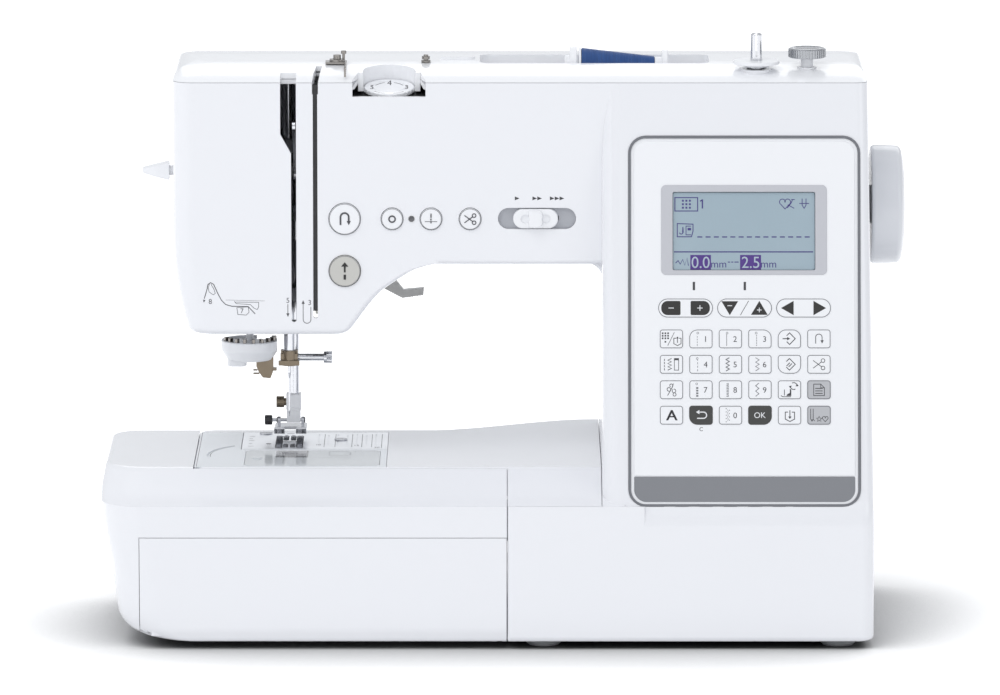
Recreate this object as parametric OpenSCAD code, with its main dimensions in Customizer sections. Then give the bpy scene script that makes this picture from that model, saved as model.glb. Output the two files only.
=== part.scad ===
// A computerised free-arm household sewing machine, built from separate pieces.
// X runs to the right, Y to the rear, Z up. The origin is on the surface it stands on,
// below the middle of its outside box.

/* [Bed and base] */
// Height of the work bed above the standing surface
bed_h = 90; // [86:1:94]
// Depth of the base, front to rear
base_depth = 180; // [176:1:188]
// Right side of the base, from the middle
base_right = 190; // [187:1:194]
// Left end of the extension table, from the middle
table_left = 208.5; // [204:0.5:212]
// Left side of the base, where the table ends
base_left = 1.3; // [0:0.1:4]
// How far below the bed the sloped front shoulder starts
shoulder_drop = 15; // [12:1:18]
// How far the sloped shoulder reaches back
shoulder_depth = 33; // [28:1:34]
// Height of the rubber feet
foot_h = 4; // [3:0.5:6]

/* [Free arm] */
// Left end of the free arm, from the middle
arm_end = 161; // [159:1:164]
// Front of the free arm, from the middle
free_front = 58.6; // [58.2:0.1:60]
// Rear of the free arm, from the middle
free_rear = 55; // [53:1:57]
// Depth of the free arm below the bed
free_depth = 64; // [62:1:66]

/* [Upper housing] */
// Height from the upper shaft up to the crease of the top cover
shaft_cover = 71.6; // [70:0.2:75]
// Rise of the top cover above the crease
crown = 6.4; // [5:0.2:8]
// Front face of the arm and head, from the middle
arm_front = 40; // [38:1:42]
// Rear face of the arm and head, from the middle
arm_rear = 68; // [66:1:72]
// Height from the underside of the arm up to the upper shaft
shaft_room = 23.2; // [22:0.2:26]
// Space between the bed and the underside of the head
head_clear = 66.2; // [64:0.2:68]
// How far the head reaches below the arm
head_drop = 36.8; // [35:0.2:38.6]
// Left side of the head, from the middle
head_left = 171.6; // [169:0.2:174]
// Left side of the pillar, from the middle
pillar_left = 50; // [48:1:52]
// How much the pillar narrows on its right towards the top
pillar_taper = 3; // [1:0.5:4]
// Wall thickness of the covers
wall = 2.5; // [2.2:0.1:2.8]
// Gap at the parting lines between the covers
seam = 0.25; // [0.2:0.05:0.4]

/* [Needle area] */
// Needle position across, from the middle
needle_x = -113; // [-115:0.5:-111]
// Needle position behind the middle
needle_y = 18; // [17:0.5:19]
// Stroke of the needle bar
needle_stroke = 33; // [30:1:34]
// Radius of the needle bar
needle_bar_r = 3.2; // [3:0.1:3.4]
// Radius of the presser bar
presser_bar_r = 2.9; // [2.5:0.1:3]
// How far the raised presser foot stands above the bed
foot_lift = 6; // [5:0.5:7]
// Width of the presser foot
foot_w = 16.8; // [15:0.2:18]

/* [Drive] */
// Radius of the upper shaft
shaft_r = 4.5; // [4:0.1:5]
// Radius of the hand wheel
wheel_r = 31; // [29:0.5:33]
// Outer end of the hand wheel, from the middle
wheel_end = 208.5; // [207:0.5:211]
// Radius of the belt pulleys
pulley_r = 19; // [17:0.5:20]
// Running clearance on the radius of a shaft in its bearing
fit = 0.05; // [0.03:0.01:0.08]
// Free gap between parts that move past each other
gap = 0.3; // [0.25:0.05:0.4]

/* [Controls] */
// Radius of the two large buttons
big_button_r = 8.1; // [7.5:0.1:8.5]
// Radius of the three small buttons
small_button_r = 5.6; // [5:0.1:6]
// Height of the button row above the upper shaft
button_rise = 0.8; // [-1:0.2:2]
// Distance from the button row down to the start button
start_drop = 27.2; // [26:0.2:29]
// Width of the control panel
panel_w = 119.2; // [116:0.2:121]
// Length of the control panel along its slope
panel_len = 191; // [188:0.5:192]
// Middle of the control panel across
panel_x = 123.2; // [122:0.2:124]
// Radius of the tension dial
dial_r = 12.9; // [12:0.1:13.2]

/* [Thread and winder] */
// Height of the spool pin above the crease
spool_rise = 2.1; // [1.4:0.1:3]
// Left radius of the wound thread
thread_r = 10; // [8:0.5:10.5]
// Length of the wound thread
thread_len = 38.4; // [34:0.4:40]
// Bobbin winder position across
winder_x = 129.9; // [128:0.5:132]
// Bobbin winder position behind the middle
winder_y = -22; // [-24:0.5:-20]
// Height of the winder shaft above the crease
winder_rise = 23.6; // [20:0.2:26]

/* [Hidden] */
$fn = 48;

white = [0.93, 0.935, 0.95];
steel = [0.75, 0.76, 0.78];
dark = [0.2, 0.2, 0.21];
bronze = [0.48, 0.44, 0.38];
grey = [0.6, 0.6, 0.58];

half = base_depth / 2;
shoulder_h = bed_h - shoulder_drop; // where the sloped front shoulder starts
free_under = bed_h - free_depth;    // underside of the free arm
head_under = bed_h + head_clear;    // underside of the head
arm_under = head_under + head_drop; // underside of the arm
shaft_h = arm_under + shaft_room;   // upper shaft
crease_h = shaft_h + shaft_cover;   // crease where the top cover starts
spool_h = crease_h + spool_rise;
winder_top = crease_h + winder_rise;
split_y = 14;               // parting plane between the front and rear covers
facets = 4;                 // flat steps in each rounded corner of a cover
edge = 3;                   // rounding of the lower edges
lean_h = shoulder_h + 3;    // height where the pillar starts to lean back
low_h = lean_h - 16;        // height up to which the base is upright
lean_in = 3.5;              // how far it is behind the base front at the lean
pan_t = 2.5;                // thickness of the base pan
frame_floor = 12;           // underside of the inner frame
presser_x = needle_x + 2;
presser_y = needle_y + 11.5;
lower_shaft_y = needle_y - 6;
lower_shaft_h = bed_h - 42;
hook_y = needle_y - 20;
hook_r = 17.5;
hook_top = bed_h - 12;
hook_floor = hook_top - 20.4;       // underside of the hook's cup
ledge_h = bed_h - 2.5;      // height of the ledge that carries the plates
plate_left = -159.5;
plate_right = -61.4;
plate_front = -57.2;
plate_rear = 46.6;
plate_split_x = -138;
plate_split_y = -3.8;
crank_r = needle_stroke / 2;
crank_x = -98;              // left face of the crank disc
slot_x = needle_x + 3.9;    // plane of the take-up lever
take_up_y = 2;              // pivot of the take-up lever
take_up_h = shaft_h + 19.8;
take_up_eye = [-33.7, 28.3];
threader_y = 5;
threader_high = head_under + 79.8; // height of the raised threader lever
threader_drop = 30;
rod_x = -133.4;             // rod of the threader
lever_x = -84;              // pivot of the presser lever
lever_h = head_under + 31.8;
lever_y = arm_rear - 19;
foot_pin = [needle_y + 6.6, bed_h + foot_lift + 4.6];
holder_h = bed_h + foot_lift + 10;  // underside of the foot holder's block
screw_h = holder_h + 3.6;   // height of the holder screw
clamp_h = bed_h + 41;       // underside of the needle clamp
guide_h = head_under - 24.2;       // underside of the threader's guide
button_row_h = shaft_h + button_rise;
start_h = button_row_h - start_drop;
dial_x = -59.8;
dial_y = -24.5;
dial_h = crease_h - 3.9;
dial_tilt = 10;
switch_y = 48;
motor_h = 118;
motor_y = rear_side(motor_h + 22) - 24.4;
disc_h = crease_h - 35.8;   // middle of the tension discs
panel_mid = panel_len / 2 - 1.5;   // middle of the panel, up the slope
screen_v = 140.4;           // middle of the display, up the slope
handle_x0 = -44;
handle_x1 = 96;
handle_h = crease_h - 11.8;
handle_low = handle_h - 62;
handle_y = rear_side(handle_low) + 3.8;
lid_top = bed_h - 31.5;     // height of the seam above the accessory lid
table_wall = 2.4;
throat_r = 9;
hinge_y = 4.6 - half;       // hinge of the accessory lid
hinge_h = 9;
hinge_r = 1;

lean = atan2(half - lean_in - arm_front, crease_h - lean_h);

// ---- outlines and lofts ----

function corner(cx, cy, r, a, n) =
  [for (k = [0:n]) [cx + r * cos(a + 90 * k / n), cy + r * sin(a + 90 * k / n)]];

// Rounded rectangle; r holds the radii front left, front right, rear right, rear left
function outline(x0, x1, y0, y1, r, n = facets) = concat(
  corner(x0 + r[0], y0 + r[0], r[0], 180, n),
  corner(x1 - r[1], y0 + r[1], r[1], 270, n),
  corner(x1 - r[2], y1 - r[2], r[2], 0, n),
  corner(x0 + r[3], y1 - r[3], r[3], 90, n));

function round_box(w, h, r, n = 4) = outline(-w / 2, w / 2, -h / 2, h / 2, [r, r, r, r], n);

// Skin over outlines of equal length; each ring is [height, outline]
module loft(rings) {
  m = len(rings[0][1]);
  n = len(rings);
  polyhedron(
    points = [for (ring = rings) for (p = ring[1]) [p[0], p[1], ring[0]]],
    faces = concat(
      [[for (j = [0:m - 1]) j]],
      [[for (j = [0:m - 1]) n * m - 1 - j]],
      [for (i = [0:n - 2]) for (j = [0:m - 1]) each [
        [i * m + j, (i + 1) * m + j, (i + 1) * m + (j + 1) % m],
        [i * m + j, (i + 1) * m + (j + 1) % m, i * m + (j + 1) % m]]]));
}

function less(r, i) = [for (v = r) max(v - i, 0.5)];

// Side profiles of the housing, as positions at a height
function head_side(z) = -head_left + (z < 210 ? 6.7 * pow((210 - z) / 48, 2) : 0);
function right_side(z) = base_right - pillar_taper * max(0, z - 60) / (crease_h - 60);
function front_side(z) = z < low_h ? -half :
  z < lean_h ? -half + lean_in * pow((z - low_h) / (lean_h - low_h), 2) :
  -half + lean_in + (half - lean_in - arm_front) * (z - lean_h) / (crease_h - lean_h);
function rear_side(z) = z < low_h ? half :
  half - (half - arm_rear) * (z - low_h) / (crease_h - low_h);
function crown_rise(d) =
  crown * lookup(d, [[0, 0], [7, 0.375], [17, 0.72], [28, 0.92], [38, 1]]);
// Height of the top cover's skin at a distance behind the middle
function top_h(y) = crease_h + crown_rise(y + arm_front);

// ---- the housing as solid forms, inset by i ----

module head_form(i) {
  k = head_drop / 36.8;
  cheek = [[0, -82, 3.4], [1, -81.2, 1.1], [3.4, -79.4, 0], [21.6 * k, -65, 0],
           [29 * k, -54.8, 0], [35.2 * k, -43.5, 0], [37.8 * k, -32, 0],
           [crease_h - head_under - i, -32, 0]];
  loft([for (c = cheek) let (z = head_under + i + c[0], e = i + c[2])
    [z, outline(head_side(z - i) + e, c[1] - e, e - arm_front, arm_rear - e,
      less([10, 4, 6, 10], i))]]);
}

module arm_form(i) {
  steps = [[0, edge], [1, 0.9], [3, 0], [crease_h - arm_under - i, 0]];
  loft([for (s = steps)
    [arm_under + i + s[0], outline(-62, pillar_left + 22, i + s[1] - arm_front,
      arm_rear - i - s[1], [0.5, 0.5, 0.5, 0.5], 1)]]);
}

module dome_form(i) {
  steps = [[0, 0, 0, 0, 0], [0.375, 0.8, 0.8, 7, 5], [0.72, 3.4, 2.4, 17, 14],
           [0.92, 8, 5, 28, 28], [1, 13, 8, 38, 42]];
  x0 = head_side(crease_h);
  x1 = right_side(crease_h);
  loft(concat(
    [[crease_h - 6, outline(x0 + i, x1 - i, i - arm_front, arm_rear - i, less([10, 6, 10, 10], i))]],
    [for (s = steps) [crease_h - i + crown * s[0],
      outline(x0 + i + s[1], x1 - i - s[2], i - arm_front + s[3], arm_rear - i - s[4],
        less([10, 6, 10, 10], i))]]));
}

module pillar_form(i) {
  bottom = foot_h - (i > 0 ? 1 : 0);
  rings = [[bottom, edge], [foot_h + 1, 0.9], [foot_h + 3, 0], [low_h, 0], [low_h + 8, 0],
           [lean_h, 0], [crease_h, 0]];
  loft([for (s = rings) let (z = s[0], e = i + s[1])
    [z, outline(pillar_left + e, right_side(z) - e, front_side(z) + e, rear_side(z) - e,
      less([9, 6, 10, 8], i))]]);
}

// Base to the left of the pillar
module base_form(i) {
  bottom = foot_h - (i > 0 ? 1 : 0);
  rings = [[bottom, edge], [foot_h + 1, 0.9], [foot_h + 3, 0], [low_h, 0], [shoulder_h, 0]];
  loft([for (s = rings) let (e = i + s[1])
    [s[0] - (s[0] == shoulder_h ? i : 0),
      outline(base_left + i, pillar_left + 22, -half + e, half - e,
        less([1.5, 1, 1, 46], i))]]);
}

// The bed between the pillar and the table, with its sloped front shoulder
module shoulder_form(i) {
  slope = [[-8, 0, 0], [0, 0, 0], [0.2, 0.26, 0], [0.5, 0.53, 0], [0.8, 0.8, 0],
           [0.95, 0.94, 0.6], [1, 1, 1.6]];
  rise = bed_h - shoulder_h;
  loft([for (s = slope)
    [shoulder_h - i + (s[0] < 0 ? s[0] : s[0] * rise),
      outline(base_left + i, pillar_left + 12, -half + i * 1.3 + s[1] * shoulder_depth,
        half - i - s[2], less([1.5, 1, 1, 46], i))]]);
}

// The rear of the bed widens towards the pillar in an S curve
module flare_form(i) {
  x0 = -45;
  steps = 10;
  function rear(x) = free_rear + (half - free_rear) * (1 - cos(180 * (x - x0) / (pillar_left - x0))) / 2;
  rings = [[free_under + 6 + i, 0], [bed_h - i - 2, 0], [bed_h - i - 0.5, 0.6], [bed_h - i, 1.6]];
  loft([for (s = rings)
    [s[0], concat([[x0, 20], [pillar_left + 12, 20], [pillar_left + 12, half - i - s[1]]],
      [for (k = [0:steps]) let (x = pillar_left - (pillar_left - x0) * k / steps)
        [x, rear(x) - i - s[1]]])]]);
}

module free_form(i) {
  rings = [[free_under + i, 7], [free_under + i + 2, 3], [free_under + i + 6, 0.6],
           [free_under + i + 10, 0], [bed_h - i - 1, 0], [bed_h - i, 0.9]];
  loft([for (s = rings)
    [s[0], outline(-arm_end + i + s[1], pillar_left + 12, -free_front + i + s[1],
      free_rear - i - s[1], less([6, 1, 1, 8], i))]]);
}

// Concave fillets where the arm and the bed run into the pillar
module throat_fillets() {
  translate([pillar_left - throat_r + 0.6, 0, arm_under - throat_r + 0.6]) rotate([90, 0, 0])
    translate([0, 0, -arm_rear + edge]) linear_extrude(arm_front + arm_rear - 2 * edge) difference() {
      square(throat_r + 2);
      circle(r = throat_r, $fn = 32);
    }
}

module housing(i) {
  head_form(i);
  arm_form(i);
  pillar_form(i);
  base_form(i);
  shoulder_form(i);
  flare_form(i);
  free_form(i);
}

module shell() {
  difference() {
    union() {
      housing(0);
      throat_fillets();
    }
    housing(wall);
    dome_form(wall + 0.02);
    translate([-210, -half, crease_h - seam]) cube([420, base_depth, 40]);
  }
}

// Frame of the leaning control panel: x across, y up the slope, z outwards
module on_panel(v = 0) {
  translate([panel_x, front_side(lean_h), lean_h]) rotate([90 - lean, 0, 0])
    translate([0, v - 2, -0.3]) children();
}

// A slot with round ends, cut along Y
module slot_y(x0, x1, z0, z1, y0, y1) {
  r = min(x1 - x0, z1 - z0) / 2;
  hull() for (x = [x0 + r, x1 - r]) for (z = [z0 + r, z1 - r])
    translate([x, y1, z]) rotate([90, 0, 0]) cylinder(r = r, h = y1 - y0, $fn = 12);
}

module thread_slots() {
  y0 = -arm_front - 6;
  y1 = -arm_front + 12;
  slot_y(slot_x - 1.3, slot_x + 1.3, head_under + 6.8, crease_h + 12.2, y0, y1);
  hull() {
    slot_y(slot_x - 6.8, slot_x + 1.3, crease_h - 27.8, crease_h + 12.2, y0, y1);
    slot_y(slot_x - 1.3, slot_x + 1.3, crease_h - 37.8, crease_h + 12.2, y0, y1);
  }
  slot_y(-99.1, -96.8, head_under + 8.8, crease_h + 12.2, y0, y1);
  hull() for (p = [[-99.1, -40], [-96.8, -40], [-95, -16], [-97.3, -16]])
    translate([p[0], p[1], crease_h - 6]) cylinder(r = 0.4, h = 20, $fn = 8);
}

module along_y(x, z, r, y0, y1) {
  translate([x, y1, z]) rotate([90, 0, 0]) cylinder(r = r, h = y1 - y0);
}

module along_x(x0, x1, y, z, r) {
  translate([x0, y, z]) rotate([0, 90, 0]) cylinder(r = r, h = x1 - x0);
}

module button_spots() {
  for (b = [[-82.8, button_row_h, big_button_r], [-82.8, start_h, big_button_r],
            [-58.3, button_row_h, small_button_r], [-38.2, button_row_h, small_button_r],
            [-18, button_row_h, small_button_r]])
    translate([b[0], 0, b[1]]) children();
}

// Opening in the underside of the head for the bars
module head_mouth() {
  hull() for (x = [-150, -96]) for (y = [-2, 46])
    translate([x, y, head_under - 4]) cylinder(r = 3, h = 14, $fn = 12);
}

// Space the presser lever swings through, from its hub outwards
module lever_sweep() {
  hull() for (a = [0, 15, 30]) for (p = [[3, -8], [4, 6], [25, -15.2], [19.4, -20.4]])
    translate([lever_x, lever_y - 0.8, lever_h]) rotate([0, a, 0]) translate([p[0], 0, p[1]])
      rotate([-90, 0, 0]) cylinder(r = 1, h = 6.6, $fn = 12);
}

module wheel_hole() {
  along_x(base_right - 12, base_right + 6, needle_y, shaft_h, 12);
}

// ---- covers ----

module front_cover() {
  color(white) difference() {
    union() {
      intersection() {
        shell();
        union() {
          translate([pillar_left, -half - 1, -10]) cube([160, half + split_y + 1, 400]);
          translate([-180, -half - 1, 130]) cube([240, half + split_y + 1, 200]);
          translate([base_left, -half - 1, -10]) cube([pillar_left, half + split_y + 1, shoulder_h + 10]);
        }
      }
      // posts for the boards
      for (p = [[-96, start_h - 6.8], [-96, button_row_h + 8], [-8, button_row_h + 8]])
        along_y(p[0], p[1], 2.6, wall - arm_front - 0.5, 7.6 - arm_front);
      // floor of the slider's recess
      translate([-6.2, wall - 0.1 - arm_front, button_row_h - 8.1]) cube([45.4, 1.5, 16.6]);
    }
    thread_slots();
    head_mouth();
    wheel_hole();
    button_spots() along_y(0, 0, small_button_r + gap, -arm_front - 3, -arm_front + 5);
    for (z = [button_row_h, start_h])
      along_y(-82.8, z, big_button_r + gap, -arm_front - 3, -arm_front + 5);
    along_y(-48.3, button_row_h, 1.6, -arm_front - 3, -arm_front + 5);
    slot_y(-3.6, 36.7, button_row_h - 5.3, button_row_h + 5.7, -arm_front - 3, wall - 0.1 - arm_front);
    translate([5.3, -arm_front, button_row_h - 1]) cube([22.5, 6, 2.4]);
    on_panel(panel_mid) translate([0, 0, -1.6])
      linear_extrude(6) polygon(round_box(panel_w + 0.3, panel_len + 0.3, 9));
    on_panel(screen_v) translate([-0.2, 0, -8]) linear_extrude(20) polygon(round_box(76, 43, 0.6, 1));
    // slot for the needle threader in the left side
    hull() for (z = [threader_high - threader_drop - 6, threader_high + 6])
      translate([-head_left - 4, threader_y, z]) rotate([0, 90, 0]) cylinder(r = 3.2, h = 12, $fn = 16);
    dial_pocket();
    free_pass();
  }
}

// Where the free arm joins the base
module free_pass() {
  translate([base_left - 5, -free_front - 0.3, free_under - 0.3])
    cube([wall + 10, free_front + free_rear + 0.6, bed_h]);
}

module rear_cover() {
  color(white) difference() {
    union() {
      intersection() {
        shell();
        union() {
          translate([pillar_left, split_y + seam, -10]) cube([160, half, 400]);
          translate([-180, split_y + seam, 130]) cube([240, half, 200]);
          translate([base_left, split_y + seam, -10]) cube([pillar_left, half, shoulder_h + 10]);
        }
      }
      // lugs for the carry handle
      for (x = [handle_x0 - 9.4, handle_x1 + 0.4]) hull() {
        translate([x, arm_rear - 2, handle_h - 9]) cube([9, 1, 16]);
        translate([x, handle_y, handle_h]) rotate([0, 90, 0]) cylinder(r = 6, h = 9, $fn = 24);
      }
    }
    wheel_hole();
    head_mouth();
    free_pass();
    along_x(handle_x0 - 12, handle_x1 + 12, handle_y, handle_h, 2.8 + fit);
    // cooling slots
    for (k = [0:6]) slot_y(72 + 13 * k, 78 + 13 * k, 34, 66, half - 10, half + 5);
    for (k = [0:5]) slot_y(72 + 15 * k, 78 + 15 * k, crease_h - 47.8, crease_h - 25.8, arm_rear - 8, half);
    // opening for the sockets on the right side
    translate([base_right - 8, 26, 20]) cube([20, 44, 44]);
    // slot of the presser lever
    lever_sweep();
  }
}

// Wells and slots of the top cover share these outlines
module spool_well(i) {
  translate([0, 0, spool_h - thread_r - 2.6 + i]) linear_extrude(30)
    polygon(outline(-13 + i, 106 - i, -8 + i, 24 - i, less([5, 5, 5, 5], i), 4));
}

module dial_pocket() {
  hull() {
    translate([dial_x, dial_y, dial_h - 3.3]) cylinder(r = dial_r + 1.8, h = 30, $fn = 32);
    translate([dial_x - 18.9, -arm_front - 6, dial_h - 3.3]) cube([37.8, 8, 30]);
  }
}

module top_cover() {
  color(white) difference() {
    union() {
      intersection() {
        difference() {
          dome_form(0);
          dome_form(wall);
        }
        translate([-210, -half, crease_h + seam]) cube([420, base_depth, 60]);
      }
      // locating tongue inside the walls below
      intersection() {
        difference() {
          dome_form(wall + gap);
          dome_form(wall + gap + 1.8);
        }
        translate([-210, -half, crease_h - 4]) cube([420, base_depth, 6]);
      }
      // tub of the spool
      difference() {
        intersection() {
          union() {
            dome_form(0.2);
            translate([-20, -12, crease_h - 17.8]) cube([130, 40, 14]);
          }
          spool_well(-2);
        }
        spool_well(0);
      }
      // bosses under the winder and its stop
      for (p = [[winder_x, winder_y, 8], [winder_x + 26.4, winder_y + 4, 5]]) difference() {
        translate([p[0], p[1], crease_h - 6])
          cylinder(r = p[2], h = top_h(p[1]) - crease_h + 6.3, $fn = 16);
        translate([p[0], p[1], crease_h - 7]) cylinder(r = p[2] - 3, h = 30, $fn = 16);
      }
      // pin blocks at both ends of the well
      hull() for (x = [-29, -20]) translate([x, 8, crease_h]) cylinder(r = 4.4, h = crown + 1.2, $fn = 16);
      hull() for (x = [95, 101]) translate([x, 8, crease_h - 6])
        cylinder(r = 4.4, h = crown + 6.4, $fn = 16);
    }
    spool_well(0.001);
    thread_slots();
    dial_pocket();
    translate([winder_x, winder_y, crease_h - 10]) cylinder(r = 4.2, h = 40, $fn = 24);
    translate([winder_x + 26.4, winder_y + 4, crease_h - 10]) cylinder(r = 3.6, h = 40, $fn = 24);
    translate([-30, 8, spool_h]) rotate([0, 90, 0]) cylinder(r = 1.5, h = 160, $fn = 16);
  }
}

module bed_cover() {
  plates_w = plate_right - plate_left;
  plates_d = plate_rear - plate_front;
  color(white) difference() {
    union() {
      intersection() {
        difference() {
          union() {
            free_form(0);
            shoulder_form(0);
            flare_form(0);
          }
          free_form(wall);
          shoulder_form(wall);
          flare_form(wall);
        }
        union() {
          translate([-arm_end - 1, -half, 0]) cube([arm_end + base_left + 0.8, base_depth, 200]);
          translate([-1, -half - 1, shoulder_h + seam])
            cube([pillar_left + 1 - seam, base_depth + 2, 60]);
        }
      }
      // rim that carries the plates
      translate([plate_left, plate_front, ledge_h - 3]) cube([plates_w + 3, plates_d + 3, 3.5]);
    }
    // seat of the plates and the well under them
    translate([plate_left - 0.2, plate_front - 0.2, ledge_h])
      cube([plates_w + 0.4, plates_d + 0.4, 10]);
    hull() for (x = [plate_left + 6, plate_right - 6]) for (y = [plate_front + 6, plate_rear - 6])
      translate([x, y, ledge_h - 8]) cylinder(r = 3, h = 20, $fn = 12);
    // drop feed lever slot in the rear
    slot_y(-50, -24, bed_h - 40, bed_h - 34, free_rear - 6, free_rear + 5);
    // screw holes in the underside
    for (x = [-140, -90, -40]) for (y = [-36, 34]) hull()
      for (d = [-1, 1]) translate([x + d, y, free_under - 2]) cylinder(r = 1.6, h = 8, $fn = 12);
  }
}

module base_pan() {
  e = edge + wall + seam;
  color(grey) difference() {
    union() {
      translate([0, 0, foot_h]) linear_extrude(pan_t)
        polygon(outline(base_left + e, base_right - e, -half + e, half - e, [1, 4, 6, 40]));
      for (p = foot_spots()) translate([p[0], p[1], foot_h]) cylinder(r = 11, h = pan_t + 2);
      for (p = frame_posts()) translate([p[0], p[1], foot_h]) cylinder(r = 7, h = frame_floor - foot_h);
      for (k = [0:4]) translate([30 + 32 * k, -60, foot_h]) cube([1.6, 120, pan_t + 3]);
    }
    for (p = frame_posts()) translate([p[0], p[1], foot_h - 1]) cylinder(r = 2.2, h = 30);
  }
}

function foot_spots() =
  [[20, 18 - half], [base_right - 18, 18 - half], [base_right - 18, half - 18], [46, half - 18]];
function frame_posts() = [[40, -34], [160, -34], [160, 46], [40, 46]];

module rubber_feet() {
  color(dark) for (p = foot_spots()) translate([p[0], p[1], 0]) difference() {
    union() {
      cylinder(r1 = 8, r2 = 9, h = 1);
      translate([0, 0, 1]) cylinder(r = 9, h = foot_h - 1);
    }
    translate([0, 0, -0.01]) cylinder(r = 2.6, h = 1.8);
  }
}

module housing_screws() {
  color(steel) {
    for (p = [[-126, 42.5], [-86.2, 23.6]]) translate([p[0], p[1], bed_h]) difference() {
      cylinder(r = 3.4, h = 0.7);
      translate([-4, -0.5, 0.3]) cube([8, 1, 1]);
    }
    for (p = frame_posts()) translate([p[0], p[1], foot_h + 0.2])
      cylinder(r = 2, h = frame_floor - foot_h + 5);
  }
}

// ---- plates on the bed ----

module plate_cover() {
  color([0.86, 0.88, 0.89]) translate([0, 0, ledge_h]) difference() {
    linear_extrude(bed_h - ledge_h) polygon([
      [plate_left, plate_front], [plate_right, plate_front], [plate_right, plate_split_y - 0.3],
      [plate_split_x, plate_split_y - 0.3], [plate_split_x, plate_rear], [plate_left, plate_rear]]);
    translate([0, 0, -1]) linear_extrude(10) polygon(outline(-135.2, -64.8, -54.2, -8.2, [3, 3, 3, 3], 4));
    // thread groove
    translate([-118, -22, bed_h - ledge_h - 0.6]) rotate_extrude(angle = 60, start = 130)
      translate([36, 0]) square([1.2, 2]);
  }
}

module bobbin_cover() {
  color([0.8, 0.86, 0.9, 0.5]) translate([0, 0, ledge_h]) difference() {
    union() {
      translate([0, 0, 0.3]) linear_extrude(bed_h - ledge_h - 0.3)
        polygon(outline(-135, -65, -54, -8.4, [2.8, 2.8, 2.8, 2.8], 4));
      translate([-129, -32, bed_h - ledge_h]) cylinder(r = 2.6, h = 0.5);
    }
    translate([needle_x, hook_y - 10, -1]) cylinder(r = 11, h = 1.8);
  }
}

module needle_plate() {
  color(steel) translate([0, 0, ledge_h]) difference() {
    linear_extrude(bed_h - ledge_h) polygon([
      [plate_split_x + 0.3, plate_split_y], [plate_right, plate_split_y],
      [plate_right, plate_rear], [plate_split_x + 0.3, plate_rear]]);
    // needle slit
    for (s = [-1, 1]) translate([needle_x + 3.5 * s, needle_y, -1]) cylinder(r = 1, h = 10);
    translate([needle_x - 3.5, needle_y - 1, -1]) cube([7, 2, 10]);
    // feed slots
    for (s = feed_rows()) translate([needle_x + s[0] - s[1] / 2 - 0.5, needle_y + s[2] - 0.8, -1])
      cube([s[1] + 1, s[3] + 1.6, 10]);
    // seam guide lines
    for (k = [0:6]) translate([needle_x + 15 + 5 * k, needle_y - 12 + (k % 2) * 3, bed_h - ledge_h - 0.25])
      cube([0.5, 34 - (k % 2) * 6, 1]);
    for (p = [[-126, 42.5], [-86.2, 23.6]]) translate([p[0], p[1], bed_h - ledge_h - 1])
      cylinder(r = 1.6, h = 3);
  }
}

// Rows of feed teeth: offset across, width, start and length along Y
function feed_rows() = [
  [-5.4, 2.6, -17, 34], [5.4, 2.6, -17, 34], [-1.9, 1.8, 5, 12], [1.9, 1.8, 5, 12],
  [-1.9, 1.8, -16, 8], [1.9, 1.8, -16, 8]];

module feed_dog() {
  pitch = 1.5;
  color(steel) {
    difference() {
      translate([needle_x - 7.5, needle_y - 17, bed_h - 8.2]) cube([15, 35, 3]);
      translate([needle_x - 3.2, needle_y - 5, bed_h - 9]) cube([6.4, 8, 6]);
    }
    for (s = feed_rows()) translate([needle_x + s[0] - s[1] / 2, needle_y + s[2], bed_h - 5.21])
      rotate([90, 0, 90]) linear_extrude(s[1]) polygon(concat([[0, 0]],
        [for (k = [0:floor(s[3] / pitch) - 1]) each [[k * pitch, 5], [(k + 0.8) * pitch, 5.8]]],
        [[floor(s[3] / pitch) * pitch, 5], [s[3], 0]]));
    translate([needle_x - 4, needle_y + 14, bed_h - 26]) cube([8, 4, 18]);
    translate([needle_x - 6, needle_y + 14, bed_h - 27.7]) cube([12, 14, 4]);
  }
}

module drop_feed_lever() {
  color(dark) {
    translate([-34, free_rear - wall - 2, bed_h - 39.4]) cube([6, wall + 8, 4.8]);
    translate([-38, free_rear - wall - 3.5, bed_h - 43]) cube([16, 3, 12]);
  }
}

// ---- control panel ----

module panel_trim() {
  color([0.35, 0.36, 0.38]) on_panel(panel_mid) translate([0, 0, -1.5]) linear_extrude(2.3) difference() {
    polygon(round_box(panel_w, panel_len, 8.8));
    polygon(round_box(panel_w - 2.2, panel_len - 2.2, 7.7));
  }
}

module control_panel() {
  w = panel_w - 2.4;
  len = panel_len - 2.4;
  band = 14.6;
  color([0.95, 0.95, 0.96]) on_panel(panel_mid) difference() {
    union() {
      translate([0, 0, -1.5]) linear_extrude(1.6) polygon(round_box(w, len, 7.6));
      // face plate above the band
      linear_extrude(0.5) polygon(outline(-w / 2 + 1.6, w / 2 - 1.6,
        -len / 2 + band, len / 2 - 1.6, [0.6, 0.6, 6.4, 6.4], 4));
      linear_extrude(0.4) polygon(outline(-w / 2 + 1.6, w / 2 - 1.6,
        -len / 2 + 1.2, -len / 2 + band - 0.4, [6.4, 6.4, 0.6, 0.6], 4));
      // frame of the display
      translate([-0.2, screen_v + 0.6 - panel_mid, 0]) linear_extrude(0.9)
        polygon(round_box(85.4, 46.4, 2.6));
      // pads of the keys
      for (c = [0:5]) for (r = [0:3]) translate([-37.6 + 15.17 * c, 84.8 - 13.1 * r - panel_mid, 0])
        linear_extrude(0.75) polygon(round_box(12.2, 9.9, 1.6, 2));
      for (c = [0:2]) translate([-30.3 + 30.35 * c, 100.7 - panel_mid, 0])
        linear_extrude(0.75) polygon(round_box(28.4, 10, 4.9, 3));
    }
    translate([-0.2, screen_v - panel_mid, -3]) linear_extrude(10)
      polygon(round_box(73.4, 40.4, 0.8, 1));
  }
}

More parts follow.
